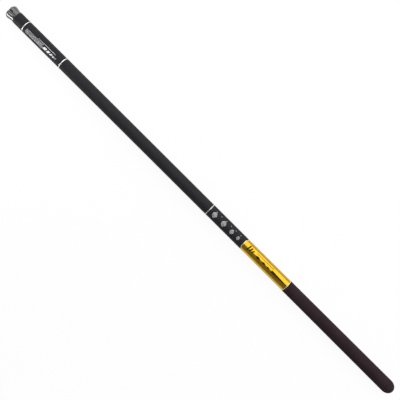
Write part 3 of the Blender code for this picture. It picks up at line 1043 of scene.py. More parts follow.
@dataclass
class Ornament:
    """The print on the butt section: rings, bars, lattices, ripples and marks, and the foil's bowed edge,
    with a painted cream highlight along both ends of the foil.

    The rings are in metres, and the strokes in millimetres, as (along, around) pairs and widths.
    """

    blank: ButtSection
    ring_widths: tuple[float, ...] = (1.6 * MM, 1.85 * MM, 1.35 * MM)
    ring_places: tuple[float, ...] = (0.5950, 0.4698, -0.0290)
    ring_lift: float = 0.06 * MM
    # the width of the painted highlight lines at the foil's two edges
    highlight_width: float = 0.9 * MM
    crest_depth: float = 3.6
    crest_reach: float = 14.5
    crest_lap: float = 2.0
    crest_power: int = 3
    crest_steps: int = 36
    plain_steps: int = 12
    # how proud the painted highlight at the foil's front edge stands, and its insets from that edge
    highlight_lift: float = 0.09
    highlight_insets: tuple[float, float] = (1.5, 0.5)
    label_turn: float = math.radians(24)
    ripple_turn: float = math.radians(4)
    foil_turn: float = math.radians(1)
    bar_front: float = 522.0
    bar_lengths: tuple[float, ...] = (9.0, 7.0, 5.2, 3.6, 2.2)
    bar_gap: float = 2.4
    bar_width: float = 6.4
    bar_narrowing: float = 0.8
    bar_slant: float = 4.0
    label_line: Stroke = Stroke.wedge(492.0, 548.0, -7.6, rear_width=0.9, front_width=0.5)
    lattice_rear: float = 531.0
    lattice_columns: int = 14
    lattice_rows: int = 5
    lattice_pitch: tuple[float, float] = (4.0, 2.2)
    scale_size: tuple[float, float] = (3.9, 2.1)
    scale_shortening: float = 0.08
    ripple_groups: tuple[tuple[float, int], ...] = ((-54.0, 5), (-84.0, 5), (-110.0, 4), (-130.0, 3))
    ripple_first: float = 1.4
    ripple_pitch: float = 1.7
    ripple_line: float = 1.0
    ripple_spread: float = math.radians(64)
    ripple_squeeze: float = 1.5
    ripple_steps: int = 6
    drop_front: float = -46.0
    drop_pitch: float = 16.0
    drop_around: float = -9.5
    drop_size: tuple[float, float] = (3.2, 1.6)
    drops: int = 6
    foil_bars: tuple[tuple[float, float], ...] = ((-160.0, 15.0), (-167.0, 11.0), (-174.0, 7.0))
    foil_bar_around: float = -1.6
    foil_bar_length: float = 3.8
    foil_bar_slant: float = 3.0
    foil_lozenges: tuple[tuple[float, float, float], ...] = (
        (-192.0, 19.0, 6.6), (-211.0, 14.5, 5.6), (-226.0, 10.5, 4.6),
    )
    foil_lozenge_around: float = 0.6
    foil_line: Stroke = Stroke.wedge(-240.0, -184.0, -6.4, rear_width=1.2, front_width=0.8)
    foil_wedge: Stroke = Stroke.wedge(-288.0, -237.0, 0.6, rear_width=2.2, front_width=6.4)

    def build(self) -> None:
        """Prints every mark, and paints the cream highlight lines at the foil's edges."""
        for number, (place, width) in enumerate(zip(self.ring_places, self.ring_widths), 1):
            self.ring(f"silver_ring_{number}", place, width, SILVER_INK)
        self.marks("foil_crest", [self.crest_stroke()], GOLD, 0.0)
        # painted highlight: cream lines along the foil's front and rear edges, where its lacquer catches
        # the light
        self.marks("foil_front_painted_highlight", [self.front_highlight()], CREAM_HIGHLIGHT, 0.0, self.highlight_lift)
        self.ring("foil_rear_painted_highlight", self.blank.foil_rear + self.highlight_width, self.highlight_width, CREAM_HIGHLIGHT)
        self.marks("speed_bars", self.speed_bars(), WHITE_INK, self.label_turn)
        self.marks("scale_lattice", self.scale_lattice(), GREY_INK, self.label_turn)
        self.marks("ripples", self.ripples(), GREY_INK, self.ripple_turn)
        self.marks("foil_marks", self.foil_marks(), BROWN_INK, self.foil_turn)

    def ring(self, name: str, place: float, width: float, ink: Finish) -> None:
        """Lays a whole ring round the blank: a printed ring, or the painted highlight at the foil's rear
        edge.

        Args:
            name: The ring's name.
            place: Its middle, along the pole.
            width: Its width.
            ink: Its finish.
        """
        radius = self.blank.radius_at(place)
        inner, outer = radius - self.ring_lift, radius + self.ring_lift
        outline = band(place - width / 2, place + width / 2, inner, outer)
        fit_turned(name, outline, self.ring_lift / 2, ink, self.blank.body)

    def marks(
        self, name: str, strokes: list[Stroke], ink: Finish, turn: float, lift: float = 0.05
    ) -> None:
        """Lays one group of strokes: print, or the painted highlight at the foil's front edge."""
        fit(Print(name, strokes, self.blank.radius_at, turn, lift).build(), ink, self.blank.body)

    def crest(self, around: float) -> float:
        """How far the foil's front edge bows forwards on the upper side, in millimetres."""
        share = min(abs(around) / self.crest_reach, 1.0)
        return self.crest_depth * (1 + math.cos(math.pi * share**self.crest_power)) / 2

    def bowed_places(self) -> list[float]:
        """The places round the pole where the bowed edge has corners, closest at its ends.

        Returns:
            The places, in millimetres from its middle.
        """
        half = self.crest_steps // 2
        steps = range(-half, half + 1)
        return [self.crest_reach * math.sin(math.pi * step / self.crest_steps) for step in steps]

    def crest_stroke(self) -> Stroke:
        """The bowed part of the foil's front edge, lapped over the straight one.

        Returns:
            The stroke.
        """
        front = self.blank.foil_front / MM
        places = self.bowed_places()
        rear = tuple((front - self.crest_lap, around) for around in places)
        return Stroke(rear, tuple((front + self.crest(around), around) for around in places))

    def front_highlight(self) -> Stroke:
        """The fine cream line just inside the foil's front edge, all the way round: a painted highlight
        of the foil's lacquered rim.

        Returns:
            The stroke.
        """
        line = self.highlight_width / MM
        plain_reach = math.pi * self.blank.radius / MM - self.crest_reach
        steps = range(1, self.plain_steps + 1)
        plain = [self.crest_reach + plain_reach * step / self.plain_steps for step in steps]
        places = [*(-place for place in reversed(plain)), *self.bowed_places(), *plain]
        edges = []
        for inset in self.highlight_insets:
            base = self.blank.foil_front / MM - inset * line
            edges.append(tuple((base + self.crest(around), around) for around in places))
        return Stroke(*edges)

    def speed_bars(self) -> list[Stroke]:
        """White slanted bars between the first two rings, with a fine line beside them.

        Returns:
            The strokes.
        """
        strokes = []
        for number, length in enumerate(self.bar_lengths):
            along = self.bar_front - sum(self.bar_lengths[:number]) - self.bar_gap * number
            width = self.bar_width - self.bar_narrowing * number
            strokes.append(Stroke.bar(along, 0.0, length, width, self.bar_slant))
        return [*strokes, self.label_line]

    def scale_lattice(self) -> list[Stroke]:
        """Grey lozenges in staggered rows, like fish scales, ahead of the bars.

        Returns:
            The strokes.
        """
        strokes = []
        pitch, row_pitch = self.lattice_pitch
        length, width = self.scale_size
        for column in range(self.lattice_columns):
            for row in range(self.lattice_rows):
                along = self.lattice_rear + pitch * column + pitch / 2 * (row % 2)
                around = row_pitch * (row - self.lattice_rows // 2)
                shorter = length - self.scale_shortening * column
                strokes.append(Stroke.lozenge(along, around, shorter, width))
        return strokes

    def ripple(self, along: float, radius: float) -> Stroke:
        """An arc of a ripple that opens towards the rear.

        Args:
            along: The middle of the ripple, along the pole.
            radius: Its radius round the pole.

        Returns:
            The stroke.
        """
        half = self.ripple_steps
        angles = [self.ripple_spread * (step / half - 1) for step in range(2 * half + 1)]
        edges = []
        for size in (radius, radius + self.ripple_line):
            long = self.ripple_squeeze * size
            edges.append(tuple((along + long * math.cos(a), size * math.sin(a)) for a in angles))
        return Stroke(*edges)

    def ripples(self) -> list[Stroke]:
        """Grey ripples between the third ring and the foil, and a row of small drops beside them.

        Returns:
            The strokes.
        """
        strokes = []
        for along, rings in self.ripple_groups:
            for ring in range(rings):
                strokes.append(self.ripple(along, self.ripple_first + self.ripple_pitch * ring))
        for drop in range(self.drops):
            along = self.drop_front - self.drop_pitch * drop
            strokes.append(Stroke.lozenge(along, self.drop_around, *self.drop_size))
        return strokes

    def foil_marks(self) -> list[Stroke]:
        """Brown marks on the foil: tall bars in front, lozenges, a fine line and a long wedge.

        Returns:
            The strokes.
        """
        strokes = []
        for along, width in self.foil_bars:
            around, length, slant = self.foil_bar_around, self.foil_bar_length, self.foil_bar_slant
            strokes.append(Stroke.bar(along, around, length, width, slant))
        for along, length, width in self.foil_lozenges:
            strokes.append(Stroke.lozenge(along, self.foil_lozenge_around, length, width))
        return [*strokes, self.foil_line, self.foil_wedge]


@dataclass
class ThreadedRing:
    """The aluminium ring glued in the butt, with the thread that the cap screws into."""

    body: Body = Body.BUTT
    flange: float = 1.5 * MM
    edge: float = 0.2 * MM
    thread_inset: float = 4.5 * MM

    def build(self) -> None:
        """Builds the ring and its thread."""
        node = "threaded_ring"
        rear, front = GAUGE.ends(node)
        bore, barrel = GAUGE.radii(node, front)
        flange_radius = GAUGE.radii(node, rear)[-1]
        shoulder = rear + self.flange
        outline = [
            (front, barrel), (shoulder, barrel), (shoulder, flange_radius),
            (rear, flange_radius), (rear, bore), (front, bore),
        ]
        fit_turned(node + "_body", outline, self.edge, ALUMINIUM, self.body, node)
        start, end = rear + self.thread_inset, front - self.edge
        thread = helix_ridge(node + "_thread", start, end, bore, -THREAD_HEIGHT, phase=math.pi)
        fit(thread, ALUMINIUM, self.body)


@dataclass
class ButtCap:
    """The screwed butt cap: a core with a threaded spigot, the bumper moulded on it and the pad."""

    body: Body = Body.CAP
    dome_depth: float = 19 * MM
    bumper_wall: float = 3.2 * MM
    neck_undercut: float = 1.5 * MM
    gap: float = 0.15 * MM
    dome_flat: float = 4 * MM
    flat_ratio: float = 5.0
    dome_steps: int = 28
    cup_wall: float = 3.2 * MM
    cup_depth: float = 12 * MM
    chamfer: float = 0.8 * MM
    seal_cord: float = 1.1 * MM
    seal_setback: float = 2.2 * MM
    seal_sides: int = 20
    groove_room: float = 0.3 * MM
    thread_inset: float = 0.5 * MM
    core_edge: float = 0.15 * MM
    bumper_edge: float = 0.35 * MM
    dimple_depth: float = 1.2 * MM
    dimple_radii: tuple[float, float] = (1.5 * MM, 2.7 * MM)
    pad_edge: float = 0.5 * MM
    pad_steps: int = 5

    def __post_init__(self) -> None:
        """Reads the places and radii from the frame."""
        self.rear, self.skirt = GAUGE.ends("cap_bumper")
        self.spigot_front = GAUGE.ends("cap_core")[1]
        self.shoulder = GAUGE.ends("threaded_ring")[0]
        self.radius = GAUGE.radii("cap_bumper", self.skirt)[-1]
        self.spigot_radius = GAUGE.radii("cap_core", self.shoulder)[-1]

    def dome(self, radius: float, depth: float, flat: float) -> Outline:
        """The outline of a half ellipse behind the dome's full radius, back to a flat.

        Args:
            radius: The ellipse's radius across the pole.
            depth: How far the flat lies behind the dome's full radius.
            flat: The radius of the flat.

        Returns:
            The outline, from the full radius.
        """
        first = math.asin(flat / radius)
        reach = depth / math.cos(first)
        points = []
        for step in range(self.dome_steps + 1):
            angle = math.pi / 2 + (first - math.pi / 2) * step / self.dome_steps
            along = self.rear + self.dome_depth - reach * math.cos(angle)
            points.append((along, radius * math.sin(angle)))
        return points

    def build(self) -> None:
        """Builds the core, its thread, the bumper, the seal and the pad."""
        self.build_core()
        self.build_bumper()
        self.build_seal()
        self.build_pad()

    def build_core(self) -> None:
        """Builds the core: spigot, cup, seal groove and the head inside the bumper."""
        head_radius = self.radius - self.bumper_wall - self.gap
        head_depth = self.dome_depth - self.bumper_wall - self.gap
        neck = head_radius - self.neck_undercut
        cup_radius = self.spigot_radius - self.cup_wall
        cup_floor = self.spigot_front - self.cup_depth
        groove_rear = self.shoulder + self.seal_setback
        groove_front = groove_rear + self.seal_cord + 2 * self.groove_room
        groove = self.spigot_radius - self.seal_cord - self.groove_room
        thread_front = self.spigot_front - self.chamfer
        outline = [
            (cup_floor, 0.0), (cup_floor, cup_radius), (self.spigot_front, cup_radius),
            (self.spigot_front, self.spigot_radius - self.chamfer),
            (thread_front, self.spigot_radius), (groove_front, self.spigot_radius),
            (groove_front, groove), (groove_rear, groove), (groove_rear, self.spigot_radius),
            (self.shoulder, self.spigot_radius), (self.shoulder, neck),
            (self.rear + self.dome_depth, neck),
            *self.dome(head_radius, head_depth, head_radius / self.flat_ratio),
        ]
        outline.append((outline[-1][0], 0.0))
        edge, node = self.core_edge, "cap_core"
        fit_turned(node + "_body", outline, edge, CORE_PLASTIC, self.body, node, closed=False)
        thread_rear = groove_front + self.thread_inset
        radius = self.spigot_radius
        thread = helix_ridge(node + "_thread", thread_rear, thread_front, radius, THREAD_HEIGHT)
        fit(thread, CORE_PLASTIC, self.body)

    def build_bumper(self) -> None:
        """Builds the domed rubber bumper, hollow over the head of the core."""
        cavity = self.radius - self.bumper_wall
        cavity_depth = self.dome_depth - self.bumper_wall
        lip = self.rear + self.dome_depth + self.gap
        lip_radius = cavity - self.neck_undercut
        inner = self.dome(cavity, cavity_depth, cavity / self.flat_ratio)
        outer = self.dome(self.radius, self.dome_depth, self.dome_flat)
        outline = [
            (inner[-1][0], 0.0), *reversed(inner), (lip, cavity), (lip, lip_radius),
            (self.skirt, lip_radius), (self.skirt, self.radius), *outer, (outer[-1][0], 0.0),
        ]
        edge, node = self.bumper_edge, "cap_bumper"
        fit_turned("rubber_bumper", outline, edge, RUBBER, self.body, node, closed=False)

    def build_seal(self) -> None:
        """Builds the round rubber ring that lies in the core's groove."""
        low, high = GAUGE.ends("cap_seal")
        middle, half = (low + high) / 2, self.seal_cord / 2
        centre = self.spigot_radius - half
        angles = (2 * math.pi * side / self.seal_sides for side in range(self.seal_sides))
        outline = [(middle + half * math.sin(a), centre + half * math.cos(a)) for a in angles]
        fit(turned("seal_ring", outline), SEAL_RUBBER, Body.SEAL, "cap_seal")

    def build_pad(self) -> None:
        """Builds the foam pad, with a dimple for the rear end of the tip section."""
        stub, face = GAUGE.ends("cap_pad")
        disc_rear = self.spigot_front + self.gap
        disc_radius = GAUGE.radii("cap_pad", face)[-1]
        stub_radius = self.spigot_radius - self.cup_wall - self.gap
        dimple_floor, dimple_mouth = self.dimple_radii
        outline = [
            (face - self.dimple_depth, 0.0), (face - self.dimple_depth, dimple_floor),
            (face, dimple_mouth), (face, disc_radius), (disc_rear, disc_radius),
            (disc_rear, stub_radius), (stub, stub_radius), (stub, 0.0),
        ]
        outline = soften(outline, self.pad_edge, closed=False, steps=self.pad_steps)
        pad = turned("foam_pad", outline)
        fit(pad, FOAM, self.body, "cap_pad")


def coned_tube(node: str, cone_length: float, inner: tuple[float, float]) -> Outline:
    """The outline of a tapered tube with a lock cone on its rear.

    Args:
        node: The node that it follows.
        cone_length: How long the cone is.
        inner: The (along, radius) point at which its bore bends behind the mouth.

    Returns:
        The outline, which closes on its first point.
    """
    rear, front = GAUGE.ends(node)
    cone = rear + cone_length
    bore, mouth = GAUGE.radii(node, front)
    cone_in, cone_out = GAUGE.radii(node, cone)
    rear_in, rear_out = GAUGE.radii(node, rear)
    outside = [(front, mouth), (cone, cone_out), (rear, rear_out)]
    return [*outside, (rear, rear_in), (cone, cone_in), inner, (front, bore)]


@dataclass
class Whipping:
    """A thread whipping round the front of a tube, with a ridge for each few turns of its thread.

    The core is the radius of the tube under its front end, and each end slopes down over about
    end_turns / FADE_RATE ridges.
    """

    node: str
    body: Body
    turns: int
    ridge: float
    core: float
    sides: int = 96
    ridge_steps: int = 6
    end_turns: int = 5
    rear_sink: float = 0.05 * MM
    front_sink: float = 0.02 * MM

    def build(self) -> None:
        """Builds the whipping."""
        rear, front = GAUGE.ends(self.node)
        bore, outer = GAUGE.radii(self.node, front)
        steps = self.turns * self.ridge_steps
        fade = self.turns // self.end_turns
        outline = []
        for step in range(steps + 1):
            share = step / steps
            along = front + (rear - front) * share
            wave = 0.5 - 0.5 * math.cos(2 * math.pi * self.turns * share)
            slope = min(1.0, share * fade * FADE_RATE, (1 - share) * fade * FADE_RATE)
            radius = bore + (outer - bore - self.ridge) * slope + self.ridge * wave
            outline.append((along, max(radius, self.core + self.ridge)))
        outline += [(rear, bore - self.rear_sink), (front, self.core - self.front_sink)]
        thread = turned(self.node + "_thread", outline, self.sides)
        fit(thread, THREAD_WRAP, self.body, self.node)


@dataclass
class InnerSection:
    """A tapered section with a lock cone on its rear and a whipping round its mouth."""

    node: str
    body: Body
    cone_length: float
    inner_lock: float
    edge: float = 0.15 * MM
    turns: int = 30
    ridge: float = 0.05 * MM

    def build(self) -> None:
        """Builds the tube and its whipping."""
        front = GAUGE.ends(self.node)[1]
        lock = front - self.inner_lock
        inner = (lock, GAUGE.radii(self.node, lock)[0])
        outline = coned_tube(self.node, self.cone_length, inner)
        fit_turned(self.node + "_tube", outline, self.edge, GLOSS, self.body, self.node)
        mouth = GAUGE.radii(self.node, front)[1]
        Whipping(self.node + "_mouth_wrap", self.body, self.turns, self.ridge, mouth).build()


@dataclass
class TopSection:
    """The hollow tip section, the solid tip glued into it and the whipping over the splice."""

    body: Body = Body.TIP
    cone_length: float = 50 * MM
    splice: float = 60 * MM
    splice_room: float = 0.3 * MM
    edge: float = 0.1 * MM
    socket: float = 6 * MM
    turns: int = 22
    ridge: float = 0.04 * MM

    def build(self) -> None:
        """Builds the three pieces."""
        hollow, solid = "tip_section", "solid_tip"
        front = GAUGE.ends(hollow)[1]
        bore, mouth = GAUGE.radii(hollow, front)
        inner = (front - self.splice - self.splice_room, bore)
        tube = coned_tube(hollow, self.cone_length, inner)
        fit_turned("tip_tube", tube, self.edge, GLOSS, self.body, hollow, sides=FINE_SIDES)

        tail, point = GAUGE.ends(solid)
        root = GAUGE.radii(solid, tail)[-1]
        end = GAUGE.radii(solid, point)[-1]
        outline = [(point, 0.0), (point, end), (point - self.socket, end), (front, root)]
        outline += [(tail, root), (tail, 0.0)]
        fit_turned(
            "painted_tip", outline, self.edge, TIP_PAINT, self.body, solid,
            closed=False, sides=FINE_SIDES,
        )
        Whipping("splice_wrap", self.body, self.turns, self.ridge, mouth).build()


@dataclass
class LineConnector:
    """The socket glued on the tip, notched for the line's loop, and the sleeve that locks it."""

    nose_length: float = 1.5 * MM
    shank_length: float = 4.5 * MM
    notch_width: float = 1.4 * MM
    notch_setback: float = 1.0 * MM
    cutter_reach: float = 3.0
    edge: float = 0.12 * MM
    grip_rings: int = 4
    ring_depth: float = 0.12 * MM
    flank_share: float = 0.25

    def build(self) -> None:
        """Builds the connector and its lock sleeve."""
        rear, front = GAUGE.ends("line_connector")
        bore, shank = GAUGE.radii("line_connector", rear)
        nose_rear = front - self.nose_length
        shank_rear = nose_rear - self.shank_length
        sleeve_rear, sleeve_front = GAUGE.ends("lock_sleeve")
        sleeve_bore, sleeve_radius = GAUGE.radii("lock_sleeve", sleeve_rear)
        outline = [
            (front, 0.0), (front, sleeve_bore), (front - self.nose_length / 2, sleeve_radius),
            (nose_rear, sleeve_radius), (nose_rear, shank), (rear, shank), (rear, bore),
            (shank_rear, bore), (shank_rear, 0.0),
        ]
        outline = soften(outline, self.edge, closed=False)
        connector = turned("connector_socket", outline, sides=FINE_SIDES)
        self.cut_notch(connector, nose_rear - self.notch_setback - self.notch_width / 2, shank)
        fit(connector, CONNECTOR_PLASTIC, Body.TIP, "line_connector")

        sleeve = [(sleeve_front, sleeve_radius)]
        pitch = (sleeve_front - sleeve_rear) / (self.grip_rings + 1)
        flank = self.flank_share * pitch
        for ring in range(1, self.grip_rings + 1):
            middle = sleeve_front - pitch * ring
            sleeve.append((middle + flank, sleeve_radius))
            sleeve.append((middle, sleeve_radius - self.ring_depth))
            sleeve.append((middle - flank, sleeve_radius))
        sleeve += [(sleeve_rear, sleeve_radius), (sleeve_rear, sleeve_bore)]
        sleeve.append((sleeve_front, sleeve_bore))
        fit_turned(
            "lock_sleeve_body", sleeve, self.edge, LOCK_PLASTIC, Body.LINE_LOCK, "lock_sleeve",
            sides=FINE_SIDES,
        )

    def cut_notch(self, piece: bpy.types.Object, along: float, shank: float) -> None:
        """Cuts the notch for the line's loop across the top of the shank.

        Args:
            piece: The connector.
            along: The middle of the notch.
            shank: The radius of the shank.
        """
        bm = bmesh.new()
        reach = self.cutter_reach * shank
        bmesh.ops.create_cube(bm, size=1.0)
        bmesh.ops.scale(bm, vec=(self.notch_width, 2 * reach, reach), verts=bm.verts)
        bmesh.ops.translate(bm, vec=(along, 0.0, GAUGE.height + reach / 2), verts=bm.verts)
        mesh = bpy.data.meshes.new("notch_cutter")
        bm.to_mesh(mesh)
        bm.free()
        cutter = bpy.data.objects.new("notch_cutter", mesh)
        bpy.context.scene.collection.objects.link(cutter)
        cut = piece.modifiers.new("notch", "BOOLEAN")
        cut.operation = "DIFFERENCE"
        cut.solver = "EXACT"
        cut.object = cutter
        graph = bpy.context.evaluated_depsgraph_get()
        carved = bpy.data.meshes.new_from_object(piece.evaluated_get(graph))
        piece.modifiers.clear()
        piece.data = carved
        carved.shade_smooth()
        carved.set_sharp_from_angle(angle=SHARP_ANGLE)
        bpy.data.objects.remove(cutter, do_unlink=True)


@dataclass
class FrontPlug:
    """The smoke-grey plug: a hollow ribbed stem and a crown with three finger flutes."""

    body: Body = Body.PLUG
    sides: int = 288
    clearance: float = 0.3 * MM
    crown_round: float = 5 * MM
    flare_share: float = 0.75
    stem_wall: float = 1.6 * MM
    rib_height: float = 0.8 * MM
    rib_width: float = 2.2 * MM
    ribs: int = 4
    bevel: float = 0.3 * MM
    cavity_radius: float = 5.5 * MM
    mouth_bevel: tuple[float, float] = (0.5 * MM, 0.4 * MM)
    step_bevel: tuple[float, float] = (0.6 * MM, 0.4 * MM)
    cavity_round: Edge = ((1.2 * MM, 0.0), (0.3 * MM, 0.5 * MM), (0.0, 1.5 * MM))
    end_wall: float = 6 * MM
    flutes: int = 3
    flute_turn: float = math.radians(1)
    flute_radius: float = 3.8 * MM
    flute_end_depth: float = 7.2 * MM
    lip_round: float = 2.2 * MM
    lip_growth: float = 1.6
    lip_least: float = 0.02
    end_dish: float = 0.35 * MM
    dish_shares: tuple[float, ...] = (0.25, 0.5, 0.75, 0.92)
    round_steps: int = 10
    flare_steps: int = 30
    neck_steps: int = 4
    rib_steps: int = 6

    def __post_init__(self) -> None:
        """Reads the places and radii from the frame."""
        self.stem_rear, self.front = GAUGE.ends("front_plug")
        self.mouth = GAUGE.ends("butt_section")[1]
        self.neck = self.mouth + self.clearance
        self.crown_radius = GAUGE.radii("front_plug", self.front - self.crown_round)[-1]
        foil_front = GAUGE.ends("foil_band")[1]
        self.neck_radius = GAUGE.radii("foil_band", foil_front)[-1] - self.clearance
        self.stem_bore, self.stem_radius = GAUGE.radii("front_plug", self.stem_rear)
        self.end_radius = self.crown_radius - self.crown_round

    def fluted(self, along: float, radius: float, turn: float) -> float:
        """The radius of the plug's skin, which dips into a flute with rounded lips.

        Args:
            along: The place along the pole.
            radius: The outline's radius there.
            turn: The turn round the pole.

        Returns:
            The radius; inside, and behind the neck, it is the outline's.
        """
        hollow = radius <= self.cavity_radius and along < self.front - self.end_wall + SAME_PLACE
        if hollow or along < self.neck - SAME_PLACE:
            return radius
        if along > self.front - self.end_dish - SAME_PLACE and radius < self.end_radius - SAME_PLACE:
            return radius * self.dip(self.front, self.end_radius, turn) / self.end_radius
        return self.dip(along, radius, turn)

    def dip(self, along: float, radius: float, turn: float) -> float:
        """The smaller of the skin's radius and the nearest flute's, blended where they cross.

        Args:
            along: The place along the pole.
            radius: The outline's radius there.
            turn: The turn round the pole.

        Returns:
            The radius.
        """
        share = (along - self.neck) / (self.front - self.neck)
        near = self.neck_radius + self.flute_radius
        far = self.crown_radius - self.flute_end_depth + self.flute_radius
        centre = near + (far - near) * share
        step = 2 * math.pi / self.flutes
        away = (turn - self.flute_turn + step / 2) % step - step / 2
        side = centre * math.sin(away)
        if abs(side) >= self.flute_radius:
            return radius
        wall = centre * math.cos(away) - math.sqrt(self.flute_radius**2 - side**2)
        blend = self.lip_round * min(max(self.lip_growth * share, self.lip_least), 1.0)
        closeness = max(blend - abs(radius - wall), 0.0) / blend
        return min(radius, wall) - closeness**2 * blend / 4

    def crown(self) -> Outline:
        """The outside of the crown: its rounded end, then an S-shaped flare down to the neck.

        Returns:
            The outline, from the axis back to the neck.
        """
        points = [(self.front - self.end_dish, 0.0)]
        for share in self.dish_shares:
            rise = self.end_dish * (1 - math.cos(math.pi * share)) / 2
            points.append((self.front - self.end_dish + rise, self.end_radius * share))
        centre = self.front - self.crown_round
        for step in range(self.round_steps + 1):
            angle = math.pi / 2 * step / self.round_steps
            along = centre + self.crown_round * math.cos(angle)
            points.append((along, self.end_radius + self.crown_round * math.sin(angle)))
        flare = (centre - self.neck) * self.flare_share
        for step in range(1, self.flare_steps + 1):
            share = step / self.flare_steps
            drop = (1 - math.cos(math.pi * share)) / 2
            radius = self.crown_radius - (self.crown_radius - self.neck_radius) * drop
            points.append((centre - flare * share, radius))
        neck_front = centre - flare
        for step in range(1, self.neck_steps + 1):
            back = (neck_front - self.neck) * step / self.neck_steps
            points.append((neck_front - back, self.neck_radius))
        return points

    def stem(self) -> Outline:
        """The outside of the stem, with round ribs that wipe the bore of the mouth.

        Returns:
            The outline, from the neck to the stem's rear.
        """
        radius, bevel = self.stem_radius, self.bevel
        points = [(self.neck, radius + bevel), (self.neck - bevel, radius)]
        pitch = (self.mouth - self.stem_rear) / self.ribs
        for rib in range(self.ribs):
            middle = self.mouth - pitch * (rib + 0.5)
            for step in range(-self.rib_steps, self.rib_steps + 1):
                angle = math.pi * step / self.rib_steps
                height = self.rib_height * (1 + math.cos(angle)) / 2
                along = middle - self.rib_width / 2 * step / self.rib_steps
                points.append((along, radius + height))
        return [*points, (self.stem_rear + bevel, radius), (self.stem_rear, radius - bevel)]

    def hollow(self) -> Outline:
        """The inside: the stem's bore, a step and the cavity for the tip's nose.

        Returns:
            The outline, from the stem's rear to the axis.
        """
        step = self.mouth + self.stem_wall
        end = self.front - self.end_wall
        return [
            (self.stem_rear, self.stem_bore + self.bevel),
            (self.stem_rear + self.bevel, self.stem_bore),
            (self.mouth - self.mouth_bevel[0], self.stem_bore),
            (self.mouth, self.stem_bore - self.mouth_bevel[1]),
            (step, self.cavity_radius + self.step_bevel[1]),
            (step + self.step_bevel[0], self.cavity_radius),
            *((end - back, self.cavity_radius - inwards) for back, inwards in self.cavity_round),
            (end, 0.0),
        ]

    def build(self) -> None:
        """Builds the plug."""
        outline = [*self.crown(), *self.stem(), *self.hollow()]
        plug = turned("smoke_plug", outline, sides=self.sides, shape=self.fluted)
        fit(plug, SMOKE, self.body, "front_plug")


@dataclass(frozen=True)
class Softbox:
    """A soft lamp that the camera doesn't see; its face is as bright as white at radiance 1."""

    name: str
    place: Place
    size: tuple[float, float]
    radiance: float
    aim: Place

    def hang(self) -> None:
        """Hangs the lamp at its place, facing its aim."""
        lamp = bpy.data.lights.new(self.name, "AREA")
        lamp.shape = "RECTANGLE"
        lamp.size, lamp.size_y = self.size
        lamp.energy = self.radiance * math.pi * self.size[0] * self.size[1]
        obj = bpy.data.objects.new(self.name, lamp)
        obj.location = self.place
        way = Vector(self.aim) - Vector(self.place)
        obj.rotation_euler = way.to_track_quat("-Z", "Y").to_euler()
        obj.visible_camera = False
        bpy.context.scene.collection.objects.link(obj)


SOFTBOXES = (
    Softbox("key_softbox", (0.0, -1.50, 1.89), (7.0, 4.0), radiance=1.75, aim=(0.0, 0.0, 0.0)),
    Softbox("rim_strip", (0.71, 0.30, 0.072), (0.24, 0.06), radiance=16.0, aim=(0.62, 0.0, 0.02)),
    Softbox("plug_box", (0.66, 0.36, 0.48), (0.26, 0.20), radiance=3.2, aim=(0.64, 0.0, 0.02)),
)


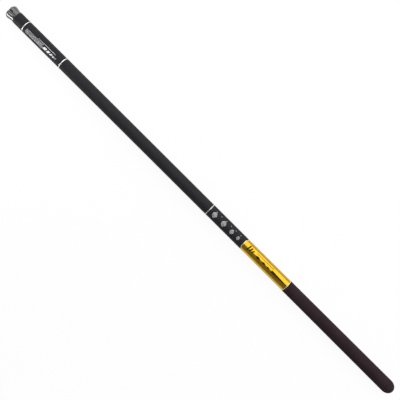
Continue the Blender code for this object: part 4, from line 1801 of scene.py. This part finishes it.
@dataclass
class Studio:
    """The pale floor, the sky, the soft lamps and the camera over the middle of the pole."""

    pixel: float = 2.4137 * MM
    image_side: int = 400
    focal_pixels: float = 600.0
    sensor: float = 36.0
    roll: float = math.radians(44.89)
    centre: tuple[float, float] = (3.7 * MM, 0.5 * MM)
    floor_drop: float = 0.16 * MM
    floor_reach: float = 90.0
    floor_tone: float = 0.90
    floor_glow: float = 0.93
    floor_roughness: float = 0.9
    clip: tuple[float, float] = (0.1, 200.0)
    sky: float = 0.25
    horizon: float = 0.85
    horizon_height: float = 0.07

    def build(self) -> None:
        """Builds the floor, the sky, the lamps and the camera."""
        self.floor()
        self.world()
        for softbox in SOFTBOXES:
            softbox.hang()
        self.camera()

    def floor(self) -> None:
        """Lays the floor, pale to the eye and to gloss, and dimmer in the pole's shadow."""
        bm = bmesh.new()
        bmesh.ops.create_grid(bm, x_segments=1, y_segments=1, size=self.floor_reach)
        mesh = bpy.data.meshes.new("floor")
        bm.to_mesh(mesh)
        bm.free()
        floor = bpy.data.objects.new("floor", mesh)
        floor.location.z = -self.floor_drop
        bpy.context.scene.collection.objects.link(floor)

        bench = Bench("floor_paper")
        bench.settle({"Base Color": (self.floor_tone,) * 3, "Roughness": self.floor_roughness})
        bench.settle({"Specular IOR Level": 0.0})
        rays = bench.node("LightPath").outputs
        seen = bench.maths("MAXIMUM", rays["Is Camera Ray"], rays["Is Glossy Ray"])
        seen = bench.maths("MAXIMUM", seen, rays["Is Transmission Ray"])
        share = bench.maths("MULTIPLY", seen, self.floor_glow)
        glow = bench.node("Emission", {"Color": (1.0, 1.0, 1.0, 1.0), "Strength": 1.0})
        paper = bench.shader.outputs["BSDF"]
        mixed = bench.node("MixShader", {0: share, 1: paper, 2: glow.outputs["Emission"]})
        output = bench.tree.nodes["Material Output"]
        bench.tree.links.new(mixed.outputs["Shader"], output.inputs["Surface"])
        floor.data.materials.append(bench.material)

    def world(self) -> None:
        """Fills the sky with dim light that turns pale at the horizon."""
        world = bpy.data.worlds.new("studio")
        world.use_nodes = True
        bpy.context.scene.world = world
        tree = world.node_tree
        generated = tree.nodes.new("ShaderNodeTexCoord").outputs["Generated"]
        parts = tree.nodes.new("ShaderNodeSeparateXYZ")
        ramp = tree.nodes.new("ShaderNodeValToRGB")
        tree.links.new(generated, parts.inputs["Vector"])
        tree.links.new(parts.outputs["Z"], ramp.inputs["Fac"])
        places, tones = (0.0, self.horizon_height), (self.horizon, self.sky)
        for element, place, tone in zip(ramp.color_ramp.elements, places, tones):
            element.position, element.color = place, (tone, tone, tone, 1.0)
        tree.links.new(ramp.outputs["Color"], tree.nodes["Background"].inputs["Color"])

    def camera(self) -> None:
        """Sets the camera square over the pole, rolled so that the plug is at the upper left."""
        lens = bpy.data.cameras.new("camera")
        lens.sensor_width = self.sensor
        lens.lens = self.focal_pixels / self.image_side * self.sensor
        lens.clip_start, lens.clip_end = self.clip
        camera = bpy.data.objects.new("camera", lens)
        distance = self.focal_pixels * self.pixel
        camera.location = (*self.centre, GAUGE.height + distance)
        camera.rotation_euler = (0.0, 0.0, math.pi + self.roll)
        bpy.context.scene.collection.objects.link(camera)
        bpy.context.scene.camera = camera


def main() -> None:
    """Builds the sub-assemblies in order."""
    logging.basicConfig(level=logging.INFO, format="%(name)s: %(message)s")
    bpy.context.scene.view_settings.view_transform = "Standard"
    Studio().build()
    blank = ButtSection()
    blank.build()
    Ornament(blank).build()
    ThreadedRing().build()
    ButtCap().build()
    InnerSection("section_4", Body.FOURTH, cone_length=80 * MM, inner_lock=70 * MM).build()
    InnerSection("section_3", Body.THIRD, cone_length=70 * MM, inner_lock=60 * MM).build()
    InnerSection("section_2", Body.SECOND, cone_length=60 * MM, inner_lock=50 * MM).build()
    TopSection().build()
    LineConnector().build()
    FrontPlug().build()


if __name__ == "__main__":
    main()
